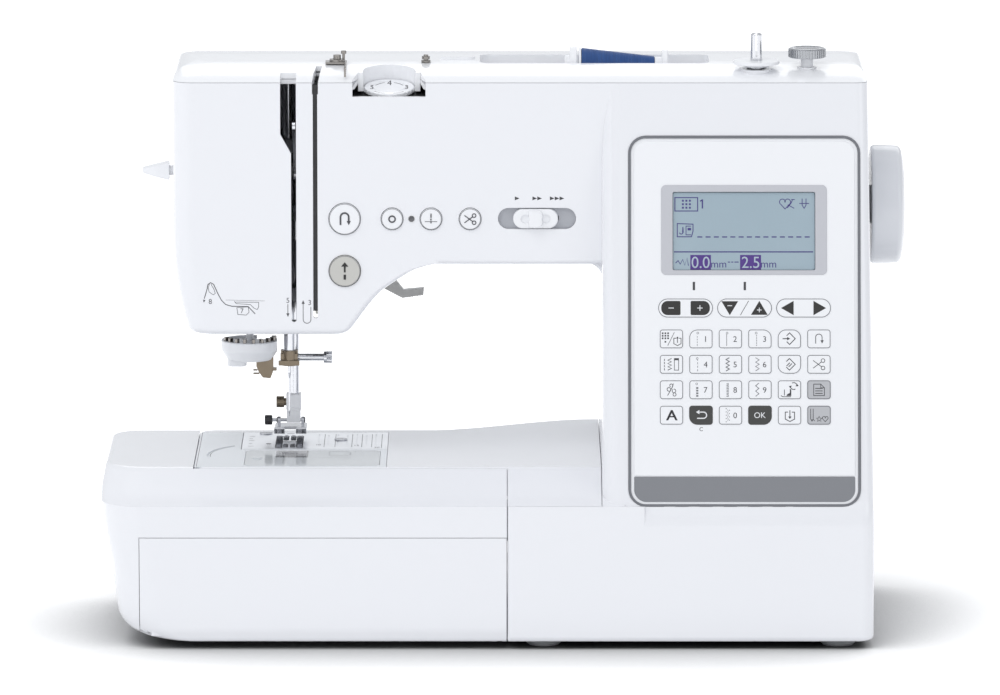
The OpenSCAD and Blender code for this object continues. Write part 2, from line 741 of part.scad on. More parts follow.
module lcd_screen() {
  color([0.6, 0.7, 0.75]) on_panel(screen_v) translate([-0.2, 0, -3.4]) {
    linear_extrude(1.8) polygon(round_box(75.4, 42.4, 0.6, 1));
    linear_extrude(3.2) polygon(round_box(72.8, 39.8, 0.6, 1));
  }
}

module circuit_boards() {
  color([0.1, 0.4, 0.25]) {
    on_panel(90) translate([0, 0, -9]) linear_extrude(1.6) square([104, 150], center = true);
    // spacers to the cover wall
    on_panel(90) for (x = [-46, 46]) for (y = [-64, 66]) translate([x, y, -7.4]) cylinder(r = 3, h = 3);
    // display socket
    on_panel(screen_v) translate([-36, -18, -7.4]) cube([72, 36, 3.9]);
    translate([0, 9.3 - arm_front, 0]) rotate([90, 0, 0]) linear_extrude(1.6)
      polygon([[-100, start_h - 8.8], [-71, start_h - 8.8], [-66, start_h - 1.8],
        [-66, button_row_h - 12], [-4, button_row_h - 12], [-4, button_row_h + 12],
        [-100, button_row_h + 12]]);
    // push switches behind the buttons
    button_spots() along_y(0, 0, 2.6, wall + 2.9 - arm_front, 7.8 - arm_front);
  }
}

// ---- arm buttons and slider ----

// Button with a flange behind the wall; the face stands proud of the arm
module button(x, z, r) {
  along_y(x, z, r, -arm_front - 1, wall + 1 - arm_front);
  along_y(x, z, r + 1.5, wall + gap - arm_front, wall + 1.3 - arm_front);
}

module reverse_button() { color(white) button(-82.8, button_row_h, big_button_r); }
module start_button() { color([0.77, 0.77, 0.75]) button(-82.8, start_h, big_button_r); }
module position_button() { color(white) button(-58.3, button_row_h, small_button_r); }
module needle_button() { color(white) button(-38.2, button_row_h, small_button_r); }
module cutter_button() { color(white) button(-18, button_row_h, small_button_r); }

module speed_slider() {
  back = wall - 0.4 - arm_front;
  color([0.9, 0.91, 0.92]) {
    // knob with a raised thumb bar
    difference() {
      union() {
        slot_y(4.2, 27.4, button_row_h - 4.8, button_row_h + 5.2, -arm_front - 1.6, back);
        translate([12, -arm_front - 4, button_row_h - 4.4]) cube([7.6, 5, 9.2]);
      }
      for (x = [10.4, 21.2]) along_y(x, button_row_h + 0.2, 2.2, -arm_front - 5, -arm_front - 1.1);
    }
    // stem and plate behind the recess
    translate([12.8, back - 0.5, button_row_h - 0.7]) cube([6, 4.2, 1.8]);
    translate([8.8, wall + 1.8 - arm_front, button_row_h - 3.8]) cube([14, 1.4, 8]);
  }
}

module at_dial(d) {
  translate([dial_x, dial_y, dial_h]) rotate([dial_tilt, 0, 0]) translate([0, 0, d]) children();
}

module tension_dial() {
  color(white) difference() {
    union() {
      at_dial(-2.4) cylinder(r = dial_r, h = 2.4);
      at_dial(-6.4) cylinder(r = 3, h = 5);
      for (k = [0:23]) at_dial(-2.2) rotate([0, 0, 15 * k]) translate([dial_r - 0.2, 0, 0])
        cylinder(r = 0.7, h = 2, $fn = 6);
    }
    at_dial(-0.4) rotate_extrude() translate([dial_r - 4.4, 0]) square([0.5, 1]);
    at_dial(-7) cylinder(r = 1.5 + fit, h = 5);
  }
}

// Steel that the upper thread runs over: tension discs, guides and the spool pin
module thread_path() {
  tension_discs();
  thread_guides();
}

module tension_discs() {
  plate_x = -86.6;
  plate_low = min(disc_h - 12, shaft_h + 21);
  color(steel) {
    // disc stack on its stud, beside the right thread slot
    along_x(-99, -84, -22, disc_h, 2);
    for (x = [-97, -94.4]) along_x(x, x + 1.4, -22, disc_h, 11);
    along_x(-92.5, -88, -22, disc_h, 4.6);
    translate([plate_x, -34, plate_low]) cube([3, 20, disc_h + 22 - plate_low]);
    // arm back to the frame
    translate([plate_x, -18, shaft_h + 20.8]) cube([3, frame_y0() + 28, 8]);
    translate([plate_x, frame_y0() + 1, shaft_h + 18]) cube([3, 9, 4]);
    // stalk under the tension dial
    at_dial(-15) cylinder(r = 2.6, h = 8.3);
    at_dial(-7) cylinder(r = 1.5, h = 4.4);
    translate([plate_x + 0.5, -26, crease_h - 20.2]) cube([29.8, 8, 3.4]);
  }
}

// ---- inner frame and drive ----

function frame_y0() = needle_y + 18;
function frame_y1() = frame_y0() + 22;

module arm_frame() {
  y0 = frame_y0();
  y1 = frame_y1();
  color([0.66, 0.67, 0.68]) difference() {
    union() {
      translate([28, -44, frame_floor]) cube([148, 102, 5]);
      translate([58, y0, frame_floor]) cube([26, y1 - y0, shaft_h + 18 - frame_floor]);
      // upper beam with its web and flanges
      translate([-148, y0 + 8, shaft_h - 16]) cube([296, 6, 34]);
      for (z = [shaft_h - 16, shaft_h + 14]) translate([-148, y0, z]) cube([296, y1 - y0, 4]);
      // bearing arms of the upper shaft
      for (x = [-84, 40, 138]) hull() {
        translate([x, y0, shaft_h - 12]) cube([8, 4, 24]);
        translate([x, needle_y, shaft_h]) rotate([0, 90, 0]) cylinder(r = 9, h = 8, $fn = 32);
      }
      // head plate with guides of the two bars
      translate([-136, y0 + 6, head_under + 11.8]) cube([44, 6, shaft_h + 23 - head_under]);
      for (z = [head_under + 9.8, shaft_h + 27.8]) translate([-128, needle_y - 7, z])
        cube([28, y0 + 19 - needle_y, 7]);
      // guide of the threader rod
      translate([-146, threader_y - 1, head_under + 11.8]) cube([24, y0 - threader_y + 10, 13]);
      // bracket and pin of the take-up lever
      translate([slot_x + 1.3, take_up_y - 5, take_up_h - 6]) cube([3.2, y0 + 12 - take_up_y, 12]);
      along_x(slot_x - 1.3, slot_x + 2, take_up_y, take_up_h, 2.5);
      along_x(slot_x - 2.2, slot_x - 1.1, take_up_y, take_up_h, 3.6);
      // tab and pin of the presser lever
      translate([-93, y0 + 6, lever_h - 10]) cube([17, 6, shaft_h - 4.2 - lever_h]);
      along_y(lever_x, lever_h, 3, y0 + 11, lever_y + 6.4);
      along_y(lever_x, lever_h, 4.4, lever_y + 5.3, lever_y + 6.4);
      // lower beam through the free arm
      translate([-150, y0 - 12, lower_shaft_h - 12]) cube([180, 12, 20]);
      translate([20, y0 - 12, frame_floor]) cube([12, 12, lower_shaft_h + 8 - frame_floor]);
      // bearing arms of the lower shaft
      for (x = [-96, 20, 138]) hull() {
        translate([x, x > 100 ? 20 : y0 - 12, x > 100 ? frame_floor + 1 : lower_shaft_h - 8])
          cube([8, 8, 14]);
        translate([x, lower_shaft_y, lower_shaft_h]) rotate([0, 90, 0]) cylinder(r = 7, h = 8, $fn = 32);
      }
      // seat of the hook
      translate([needle_x - 7, hook_y - 7, lower_shaft_h - 17]) cube([14, 50, 6.5]);
      // face mount of the motor
      translate([84, motor_y - 18, motor_h - 22]) cube([14, 36, 44]);
      translate([58, y1 - 2, motor_h - 22]) cube([40, motor_y + 20 - y1, 44]);
    }
    // notch for the link of the crank
    translate([crank_x - 6, y0 - 1, shaft_h - 18]) cube([8, 6.5, 8]);
    // bores
    along_x(-200, 200, needle_y, shaft_h, shaft_r + 2);
    along_x(-200, 200, lower_shaft_y, lower_shaft_h, 3.5 + fit);
    translate([needle_x, needle_y, 100]) cylinder(r = needle_bar_r + fit, h = 200);
    translate([presser_x, presser_y, 100]) cylinder(r = presser_bar_r + fit, h = 200);
    translate([rod_x, threader_y + 4, head_under]) cylinder(r = 2 + fit, h = 30);
    translate([needle_x, hook_y, 12]) cylinder(r = 4 + fit, h = lower_shaft_h - 10);
    for (p = frame_posts()) translate([p[0], p[1], 5]) cylinder(r = 2.2, h = 20);
    along_x(80, 110, motor_y, motor_h, 6);
  }
}

module shaft_bushes() {
  color([0.7, 0.55, 0.35]) for (x = [-85, 39, 137]) difference() {
    along_x(x, x + 10, needle_y, shaft_h, shaft_r + 2);
    along_x(x - 1, x + 11, needle_y, shaft_h, shaft_r + fit);
  }
}

module main_shaft() {
  color(steel) {
    along_x(crank_x, wheel_end - 6, needle_y, shaft_h, shaft_r);
    along_x(crank_x, crank_x + 8, needle_y, shaft_h, 9);
    // crank disc, lightened beside its pin
    difference() {
      along_x(crank_x, crank_x + 6, needle_y, shaft_h, crank_r + 3.5);
      for (s = [-1, 1]) along_x(crank_x - 1, crank_x + 7, needle_y + 16.5 * s, shaft_h + 5, 6.5);
    }
    along_x(crank_x - 4.8, crank_x + 0.5, needle_y, shaft_h + crank_r, 2.6);
  }
}

// Link on the crank pin; its lower eye stands just clear of the stud on the needle bar
module needle_link() {
  color(steel) translate([crank_x - 4.6, needle_y, shaft_h]) rotate([90, 0, 90])
    linear_extrude(3.2) difference() {
      union() {
        translate([0, crank_r]) circle(r = 5);
        translate([0, -4]) circle(r = 4.4);
        translate([-2.4, -4]) square([4.8, crank_r + 4]);
      }
      translate([0, crank_r]) circle(r = 2.6 + fit);
      translate([0, -4]) circle(r = 2.4 + fit);
    }
}

module pulley(x, w, y, z, r, bore) {
  teeth = floor(2 * r);
  difference() {
    union() {
      along_x(x, x + w, y, z, r - 0.8);
      for (k = [0:teeth - 1]) translate([x, y, z]) rotate([360 * k / teeth, 0, 0])
        translate([0, -0.7, r - 1.6]) cube([w, 1.4, 1.6]);
      for (d = [0, w - 1]) along_x(x + d, x + d + 1, y, z, r + 2);
    }
    along_x(x - 1, x + w + 1, y, z, bore);
  }
}

module belt_pulleys() {
  color([0.85, 0.85, 0.8]) {
    pulley(152, 9, needle_y, shaft_h, pulley_r, shaft_r);
    pulley(166, 9, needle_y, shaft_h, pulley_r + 5, shaft_r);
  }
}

module lower_shaft() {
  color(steel) along_x(-124, 163, lower_shaft_y, lower_shaft_h, 3.5);
  color([0.85, 0.85, 0.8]) pulley(152, 9, lower_shaft_y, lower_shaft_h, pulley_r, 3.5);
  color([0.9, 0.88, 0.8]) gear_x(-118, 9, lower_shaft_y, lower_shaft_h, 9, 3.5);
}

module gear_x(x, w, y, z, r, bore) {
  teeth = floor(1.6 * r);
  translate([x, y, z]) rotate([0, 90, 0]) linear_extrude(w) difference() {
    polygon([for (k = [0:teeth - 1]) each [
      for (s = [[0.1, -1.2], [0.3, 0.2], [0.6, 0.2], [0.8, -1.2]])
        let (a = 360 * (k + s[0]) / teeth) [(r + s[1]) * cos(a), (r + s[1]) * sin(a)]]]);
    circle(r = bore);
  }
}

module belt_loop(x, w, y0, z0, r0, y1, z1, r1) {
  translate([x, 0, 0]) rotate([90, 0, 90]) linear_extrude(w) difference() {
    hull() {
      translate([y0, z0]) circle(r = r0 + gap + 1.4);
      translate([y1, z1]) circle(r = r1 + gap + 1.4);
    }
    hull() {
      translate([y0, z0]) circle(r = r0 + gap);
      translate([y1, z1]) circle(r = r1 + gap);
    }
  }
}

module timing_belts() {
  color(dark) {
    belt_loop(153.3, 6.4, lower_shaft_y, lower_shaft_h, pulley_r, needle_y, shaft_h, pulley_r);
    belt_loop(167.3, 6.4, motor_y, motor_h, 7, needle_y, shaft_h, pulley_r + 5);
  }
}

module drive_motor() {
  color([0.45, 0.46, 0.48]) {
    along_x(98, 148, motor_y, motor_h, 18);
    along_x(94, 98, motor_y, motor_h, 6);
    along_x(148, 152, motor_y, motor_h, 6);
  }
}

module motor_pulley() {
  color([0.85, 0.85, 0.8]) pulley(166, 9, motor_y, motor_h, 7, 2);
  color(steel) along_x(152.3, 178, motor_y, motor_h, 2);
}

// ---- hook and bobbin ----

module rotary_hook() {
  color(steel) difference() {
    union() {
      translate([needle_x, hook_y, hook_floor]) cylinder(r = hook_r, h = hook_top - hook_floor);
      translate([needle_x, hook_y, lower_shaft_h - 18.8])
        cylinder(r = 4, h = hook_floor - lower_shaft_h + 19.2);
      translate([needle_x, hook_y, lower_shaft_h - 4]) cylinder(r = 4.5, h = 9.2);
    }
    translate([needle_x, hook_y, hook_floor + 1.4]) cylinder(r = hook_r - 1.6, h = 40);
    // beak opening
    translate([needle_x, hook_y, hook_top - 8]) rotate([0, 0, 20]) translate([4, 0, 0]) cube([20, 7, 20]);
  }
}

module bobbin_case() {
  r = hook_r - 1.6 - gap;
  color(dark) translate([needle_x, hook_y, 0]) difference() {
    translate([0, 0, hook_floor + 1.4 + gap]) cylinder(r = r, h = hook_top - hook_floor - gap - 1.8);
    translate([0, 0, hook_floor + 4.4]) cylinder(r = 11.4, h = 40);
    translate([0, 8, hook_top - 10]) cube([2, 10, 30]);
  }
}

module bobbin() {
  color([0.85, 0.9, 0.95, 0.6]) translate([needle_x, hook_y, hook_floor + 4.4 + gap]) difference() {
    union() {
      cylinder(r = 10.3, h = 1.2);
      translate([0, 0, 10.4]) cylinder(r = 10.3, h = 1.2);
      cylinder(r = 4.2, h = 11.6);
    }
    translate([0, 0, -1]) cylinder(r = 3, h = 20);
    for (k = [0:5]) rotate([0, 0, 60 * k]) translate([7.3, 0, -1]) cylinder(r = 1.3, h = 20, $fn = 16);
  }
}

// ---- needle and presser ----

module needle_bar() {
  low = clamp_h + 2;
  high = crease_h - 1.8;
  color(steel) difference() {
    union() {
      translate([needle_x, needle_y, low]) cylinder(r = needle_bar_r, h = high - low);
      // collar with the stud for the link
      translate([needle_x, needle_y, shaft_h - 8]) cylinder(r = needle_bar_r + 2.4, h = 8);
      along_x(needle_x + 2, crank_x - 5.2, needle_y, shaft_h - 4, 2.4);
    }
    translate([needle_x, needle_y, low - 1]) cylinder(r = 1, h = 3);
  }
}

module needle_clamp() {
  color(bronze) difference() {
    union() {
      translate([needle_x, needle_y, clamp_h]) cylinder(r = 4.6, h = 8);
      translate([needle_x - 4.6, needle_y - 3.6, clamp_h + 1]) cube([9, 7.2, 5.4]);
      // thread guide of the clamp
      translate([needle_x - 5.6, needle_y - 5, clamp_h + 0.4]) cube([11, 1, 2.6]);
    }
    translate([needle_x, needle_y, clamp_h + 2]) cylinder(r = needle_bar_r, h = 10);
    translate([needle_x, needle_y, clamp_h - 2]) cylinder(r = 1, h = 5);
    along_x(needle_x + 1.2, needle_x + 10, needle_y, clamp_h + 4.1, 1.5);
  }
}

module clamp_screw() {
  x0 = needle_x + 4.7;
  z = clamp_h + 4.1;
  color(steel) {
    along_x(x0, -94.9, needle_y, z, 1.9);
    along_x(needle_x + 3.3, x0, needle_y, z, 1.5 - gap / 2);
    difference() {
      along_x(-94.9, -90.6, needle_y, z, 3.1);
      for (k = [0:11]) translate([-93.4, needle_y, z]) rotate([30 * k, 0, 0])
        translate([0, 0, 3.1]) rotate([0, 90, 0]) cylinder(r = 0.5, h = 6, $fn = 6);
      along_x(-91.4, -80, needle_y, z, 1.4);
    }
  }
}

module needle() {
  tip = clamp_h - 27.4;
  color(steel) translate([needle_x, needle_y, 0]) {
    translate([0, 0, clamp_h - 4]) cylinder(r = 0.98, h = 6);
    translate([0, 0, clamp_h - 7]) cylinder(r1 = 0.5, r2 = 0.98, h = 3);
    translate([0, 0, tip + 3]) cylinder(r = 0.5, h = clamp_h - 9.9 - tip);
    translate([0, 0, tip]) cylinder(r1 = 0.08, r2 = 0.5, h = 3);
  }
}

module take_up_lever() {
  color(steel) translate([slot_x - 0.8, take_up_y, take_up_h]) rotate([90, 0, 90])
    linear_extrude(1.6) difference() {
      union() {
        circle(r = 5);
        polygon([[-2.6, -3.1], [2.6, 3.1], take_up_eye + [1.2, 1.4], take_up_eye - [1.2, 1.4]]);
        translate(take_up_eye) circle(r = 2.4);
      }
      circle(r = 2.5 + fit);
      translate(take_up_eye) circle(r = 1.1, $fn = 16);
    }
}

module presser_bar() {
  color(steel) {
    translate([presser_x, presser_y, holder_h + 4])
      cylinder(r = presser_bar_r, h = shaft_h + 43.8 - holder_h);
    // bracket lifted by the lever
    difference() {
      translate([presser_x - 6, presser_y - 4, lever_h + 8]) cube([14, 10, 10]);
      translate([presser_x, presser_y, lever_h + 2]) cylinder(r = presser_bar_r - 0.01, h = 20);
    }
  }
}

module foot_holder() {
  y = foot_pin[0];
  z = foot_pin[1];
  color([0.82, 0.84, 0.87]) difference() {
    union() {
      translate([presser_x - 3.9, presser_y - 5, holder_h]) cube([7.8, 9, 8]);
      translate([presser_x - 3.2, presser_y - 6, holder_h - 2]) cube([6.4, 7, 3]);
      // jaws on the cross pin of the foot
      translate([presser_x - 3.6, y - 1.5, z - 1.2]) cube([7.2, 3.9, 6.2]);
    }
    translate([presser_x, presser_y, holder_h + 1]) cylinder(r = presser_bar_r, h = 20);
    along_x(presser_x - 10, presser_x + 10, y, z, 0.9 + fit);
    translate([presser_x - 10, y - 0.7, z - 3]) cube([20, 1.4, 3]);
  }
}

module holder_screw() {
  x1 = presser_x - 3.9;
  color(bronze) difference() {
    union() {
      along_x(x1 - 1.2, x1 - 0.05, presser_y - 1, screw_h, 2);
      along_x(x1 - 5.2, x1 - 1.2, presser_y - 1, screw_h, 3);
    }
    translate([x1 - 5.4, presser_y - 1.4, screw_h - 10]) cube([1, 0.8, 20]);
  }
}

module presser_foot() {
  pin_y = foot_pin[0] - needle_y;
  w = foot_w / 2;
  color(steel) translate([needle_x + 0.6, needle_y, bed_h + foot_lift]) difference() {
    union() {
      // sole with turned-up toes
      for (s = [[-w, 5.4], [3, w - 3]]) {
        translate([s[0], -9, 0]) cube([s[1], 24, 1.6]);
        translate([s[0], -9, 0]) rotate([-28, 0, 0]) translate([0, -6, 0]) cube([s[1], 6.4, 1.6]);
      }
      translate([-w, 3.4, 0]) cube([foot_w, 11.6, 1.6]);
      // ears and cross pin
      for (x = [-w + 1.4, w - 3]) translate([x, pin_y - 2, 1.2]) cube([1.6, 4.6, 5.2]);
      along_x(-w + 2, w - 2, pin_y, 4.6, 0.9);
      // release button at the left ear
      along_x(-w - 1.4, -w + 1.5, pin_y, 4.6, 0.9);
      along_x(-w - 5.4, -w - 1.4, pin_y, 4.6, 2.6);
    }
    translate([-4.6, -2.4, -2]) cube([8, 4.8, 4.6]);
  }
}

module presser_lever() {
  color([0.6, 0.6, 0.57]) difference() {
    union() {
      along_y(lever_x, lever_h, 7, lever_y, lever_y + 5);
      translate([lever_x, lever_y + 5, lever_h]) rotate([90, 0, 0]) linear_extrude(5)
        polygon([[-2, -4], [19.4, -20.8], [27.6, -25.2], [30, -26.4], [41, -24.8],
          [41.4, -21.2], [30.6, -22.2], [25.4, -15.6], [4, 6]]);
      // grip ribs under the tip
      for (k = [0:6]) along_y(lever_x + 32.5 + 1.35 * k, lever_h - 25.7 + 0.19 * k, 0.5,
        lever_y, lever_y + 5);
    }
    along_y(lever_x, lever_h, 3 + fit, lever_y - 1, lever_y + 7);
  }
}

module threader_lever() {
  z0 = threader_high;
  color(white) {
    hull() {
      translate([-head_left - 4, threader_y - 5, z0 - 4.4]) cube([0.8, 10, 8.8]);
      translate([-head_left - 17, threader_y - 3.4, z0 - 1]) cube([1, 6.8, 2.4]);
      translate([-head_left - 10, threader_y - 4.8, z0 - 3]) cube([1, 9.6, 6]);
    }
    along_x(-head_left - 4, rod_x - 4.6, threader_y, z0, 2.6);
    difference() {
      translate([rod_x - 6.6, threader_y - 3, z0 - 7]) cube([10, 11, 14]);
      translate([rod_x, threader_y + 4, z0 - 8]) cylinder(r = 2, h = 20);
    }
  }
}

module threader_guide() {
  y = threader_y + 4;
  color(white) {
    translate([rod_x, y, guide_h + 14]) cylinder(r = 2, h = threader_high + 8 - guide_h);
    difference() {
      union() {
        translate([rod_x, y, guide_h + 9.4]) cylinder(r = 15, h = 4.6);
        translate([rod_x, y, guide_h + 3.6]) cylinder(r1 = 11.4, r2 = 15, h = 5.9);
        translate([-145, y - 6, guide_h + 0.4]) cube([10, 9, 4]);
      }
      translate([needle_x - 6.2, y - 20, guide_h - 2]) cube([20, 40, 30]);
      translate([-130, y + 6, guide_h - 2]) cube([20, 20, 30]);
    }
  }
  color(bronze) {
    for (k = [0:8]) translate([rod_x, y, guide_h + 14]) rotate([0, 0, 200 + 20 * k])
      translate([11.4, -0.8, -0.2]) cube([2.6, 1.6, 2.2]);
    translate([-130, y - 4, guide_h - 3]) cube([9, 1.2, 8]);
    translate([-127, y - 4, guide_h - 6]) cube([5, 1.2, 4]);
    translate([-122, y - 4, guide_h - 2]) cube([2.6, 5, 1.2]);
  }
}

// ---- on the top cover ----

module thread_guides() {
  z0 = top_h(-4);
  color(steel) {
    // pre-tension guide
    translate([-93, -14, z0]) cube([11, 9, 1]);
    translate([-87, -9.6, z0]) cylinder(r = 3.9, h = 2.2);
    translate([-87, -9.6, z0]) cylinder(r = 2, h = 4.4);
    translate([-83.6, -9.6, z0]) cylinder(r = 0.7, h = 6.4);
    translate([-83.6, -9.6, z0 + 5]) cylinder(r = 1.4, h = 1.6);
    translate([-83, -37, z0 - 0.02]) cube([1, 26, 1]);
    translate([-83, -37, crease_h + 2.6]) cube([1, 1, z0 - crease_h - 2]);
    // stud for winding the bobbin
    translate([-41, -6, z0]) cylinder(r = 2.4, h = 1.2);
    translate([-41, -6, z0]) cylinder(r = 1.2, h = 4);
    translate([-41, -6, z0 + 1.8]) cylinder(r = 2.1, h = 1.4);
    // spool pin
    along_x(-22, 99, 8, spool_h, 1.1);
    translate([92, 8, spool_h - 5]) cylinder(r = 1.1, h = 5);
  }
}

module thread_spool() {
  x0 = 39.6;
  color([0.2, 0.35, 0.65]) difference() {
    translate([x0, 8, spool_h]) rotate([0, 90, 0])
      cylinder(r1 = thread_r, r2 = thread_r * 0.56, h = thread_len);
    along_x(x0 - 1, x0 + thread_len + 1, 8, spool_h, 4);
  }
  color(white) difference() {
    union() {
      along_x(x0 - 1.2, x0, 8, spool_h, thread_r + 0.4);
      along_x(x0 + thread_len, x0 + thread_len + 3.6, 8, spool_h, 5.2);
      along_x(x0 + thread_len + 3.6, x0 + thread_len + 6.8, 8, spool_h, 9);
      along_x(x0 - 1.2, x0 + thread_len + 6.8, 8, spool_h, 4);
    }
    along_x(x0 - 4, x0 + thread_len + 10, 8, spool_h, 1.1 + gap);
  }
}

module spool_cap() {
  color(white) difference() {
    union() {
      along_x(33.6, 37.4, 8, spool_h, 10.8);
      along_x(31, 33.6, 8, spool_h, 6);
    }
    along_x(30, 40, 8, spool_h, 1.1 + fit);
  }
}

module winder_shaft() {
  z0 = top_h(winder_y);
  color(steel) translate([winder_x, winder_y, 0]) difference() {
    union() {
      translate([0, 0, z0 - 16]) cylinder(r = 2.95, h = winder_top - z0 + 15);
      translate([0, 0, winder_top - 1]) cylinder(r1 = 2.95, r2 = 2.2, h = 1);
    }
    translate([-0.4, -4, winder_top - 12]) cube([0.8, 8, 14]);
  }
  color(white) translate([winder_x, winder_y, 0]) difference() {
    union() {
      translate([0, 0, z0 + 2.9]) cylinder(r = 12, h = 1.8);
      translate([0, 0, z0 + 1.3]) cylinder(r1 = 6, r2 = 9, h = 1.6);
    }
    cylinder(r = 2.95, h = 400);
  }
}

module winder_stop() {
  z0 = top_h(winder_y + 4);
  stop_h = crease_h + 10.6;
  color(steel) translate([winder_x + 26.4, winder_y + 4, 0]) difference() {
    union() {
      translate([0, 0, stop_h]) cylinder(r = 9.7, h = 5);
      translate([0, 0, stop_h]) cylinder(r = 9.9, h = 3.6);
    }
    translate([-6, -0.6, stop_h + 4.2]) cube([12, 1.2, 2]);
  }
  color(white) translate([winder_x + 26.4, winder_y + 4, z0 - 14]) cylinder(r = 3.2, h = stop_h - z0 + 14);
}

// ---- hand wheel, handle, table, lid, sockets, lamps ----

module handwheel() {
  x0 = base_right + 0.8;
  x1 = wheel_end;
  color([0.85, 0.86, 0.87]) translate([0, needle_y, shaft_h]) rotate([0, 90, 0]) rotate_extrude($fn = 96)
    polygon(concat(
      [[shaft_r, x0 - 8], [10, x0 - 8], [10, x0], [wheel_r - 2, x0], [wheel_r - 0.4, x0 + 0.6],
       [wheel_r, x0 + 2], [wheel_r - 0.3, x1 - 4.6]],
      [for (k = [1:5]) [wheel_r - 4 + 3.7 * cos(18 * k), x1 - 4.6 + 3.2 * sin(18 * k)]],
      [[wheel_r - 5, x1 - 1.4], [wheel_r - 7, x1 - 0.6], [12, x1], [shaft_r, x1]]));
}

module table_form(i) {
  rise = bed_h - shoulder_h;
  side = [[foot_h, -181], [foot_h + 2, -188], [foot_h + 6, -195], [foot_h + 13, -199.5], [42, -203],
          [57, -206], [shoulder_h, 0.3 - table_left], [shoulder_h + rise / 3, -table_left],
          [shoulder_h + rise * 2 / 3, 0.8 - table_left],
          [bed_h - 1, 1.6 - table_left], [bed_h, 2.9 - table_left]];
  slope = [[0, 0], [0.2, 0.26], [0.5, 0.53], [0.8, 0.8], [0.95, 0.94], [1, 1]];
  function front(z) = z > shoulder_h ?
    -half + shoulder_depth * lookup((z - shoulder_h) / rise, slope) :
    -half + (z < foot_h + 2 ? edge - (z - foot_h) : z < foot_h + 6 ? 1 - (z - foot_h - 2) / 4 : 0);
  loft([for (s = side)
    let (z = s[0] + (s[0] == foot_h ? i : s[0] == bed_h ? -i : 0), e = s[0] == bed_h ? 1.5 : 0)
    [z, outline(s[1] + i, base_left - seam - (i > 0 ? i : 0),
      front(s[0]) + i * (s[0] > shoulder_h ? 1.3 : 1), free_rear - i - e,
      less([22, 0.6, 0.6, 14], i), 7)]]);
}

module arm_pocket(grow) {
  translate([-arm_end - gap * 2 - grow, -free_front - gap * 2 - grow, -10])
    cube([arm_end + 40, free_front + 200, bed_h + 40]);
}

// Front wall of the storage space, which is the lid
module lid_cut(g) {
  translate([-188 - g, -half - 5, -10]) cube([188 + 40, 5 + 8.6 + g, lid_top + 10 + g]);
}

// Lug of the table that holds the right hinge pin of the lid
module hinge_lug() {
  hull() {
    along_x(-3.4, -1.7, hinge_y, hinge_h, hinge_r + 0.9);
    translate([-3.4, hinge_y + 5, hinge_h - 1.4]) cube([1.7, 1.4, 7]);
  }
  translate([-3.4, hinge_y + 4.6, hinge_h + 2.2]) cube([2.4, 2.5, 3.4]);
}

module lid_pins() {
  color(steel) {
    along_x(-190.5, -174, hinge_y, hinge_h, hinge_r);
    along_x(-12, -1.7, hinge_y, hinge_h, hinge_r);
  }
}

module bed_table() {
  color(white) difference() {
    union() {
      difference() {
        table_form(0);
        arm_pocket(0);
        difference() {
          table_form(table_wall);
          arm_pocket(table_wall);
        }
      }
      // rib behind the top edge of the lid, with the latch
      intersection() {
        table_form(1);
        translate([-186, -half + 1.5, lid_top + 0.6]) cube([184, 9.5, 2]);
      }
      hinge_lug();
      // partition at the left of the storage space
      intersection() {
        table_form(1);
        translate([-190.8, -half + 1, 5]) cube([2, 31, shoulder_h - 5]);
      }
    }
    lid_cut(seam);
    // floor ends behind the lid's path
    difference() {
      translate([-188, -half - 1, -1]) cube([193, 11.6, 12]);
      hinge_lug();
    }
    along_x(-192, -186, hinge_y, hinge_h, hinge_r + fit + 0.03);
    along_x(-6, -1.5, hinge_y, hinge_h, hinge_r + fit + 0.03);
    for (k = [0:7]) slot_y(-120 + 12 * k, -114 + 12 * k, 20, 40, -free_front - 6, -free_front + 3);
  }
}

module accessory_lid() {
  color(white) difference() {
    union() {
      intersection() {
        difference() {
          table_form(0);
          table_form(table_wall);
        }
        translate([-188, -half - 5, -10]) cube([188 + base_left - seam, 5 + 6.4, lid_top + 10]);
        translate([-400, -400, -1]) cube([400 + base_left - seam - 0.2, 800, 800]);
      }
      // ribs
      for (x = [-170, -145, -120, -95, -70, -45, -20]) hull() {
        translate([x, -half + table_wall - 0.2, 14]) cube([1.4, 3, 1]);
        translate([x, -half + table_wall - 0.2, lid_top - 6.5]) cube([1.4, 2, 1]);
      }
      // hinge knuckles
      for (x = [-182, -12]) hull() {
        translate([x, hinge_y, hinge_h]) rotate([0, 90, 0]) cylinder(r = 2.4, h = 8, $fn = 24);
        translate([x, -half + table_wall - 0.2, 7]) cube([8, 0.4, 5]);
      }
    }
    along_x(-189, -173, hinge_y, hinge_h, hinge_r + 0.03);
    along_x(-13, -3, hinge_y, hinge_h, hinge_r + 0.03);
    // room for the lug of the table
    translate([-3.9, hinge_y - 2.1, 0]) cube([2.5, 12, 13]);
  }
}

module carry_handle() {
  y = handle_y;
  z0 = handle_low;
  color([0.88, 0.885, 0.9]) {
    for (x = [handle_x0, handle_x1 - 8]) {
      hull() {
        translate([x, y, handle_h]) rotate([0, 90, 0]) cylinder(r = 5.4, h = 8, $fn = 24);
        translate([x, y - 2.6, z0 + 8]) cube([8, 5.6, 4]);
      }
    }
    hull() for (x = [handle_x0 + 6, handle_x1 - 6]) for (z = [z0 + 6, z0 + 14])
      translate([x, y + 3, z]) rotate([90, 0, 0]) cylinder(r = 6, h = 5.6, $fn = 24);
    along_x(handle_x0 - 7.6, handle_x0 + 1, y, handle_h, 2.8);
    along_x(handle_x1 - 1, handle_x1 + 7.6, y, handle_h, 2.8);
  }
}

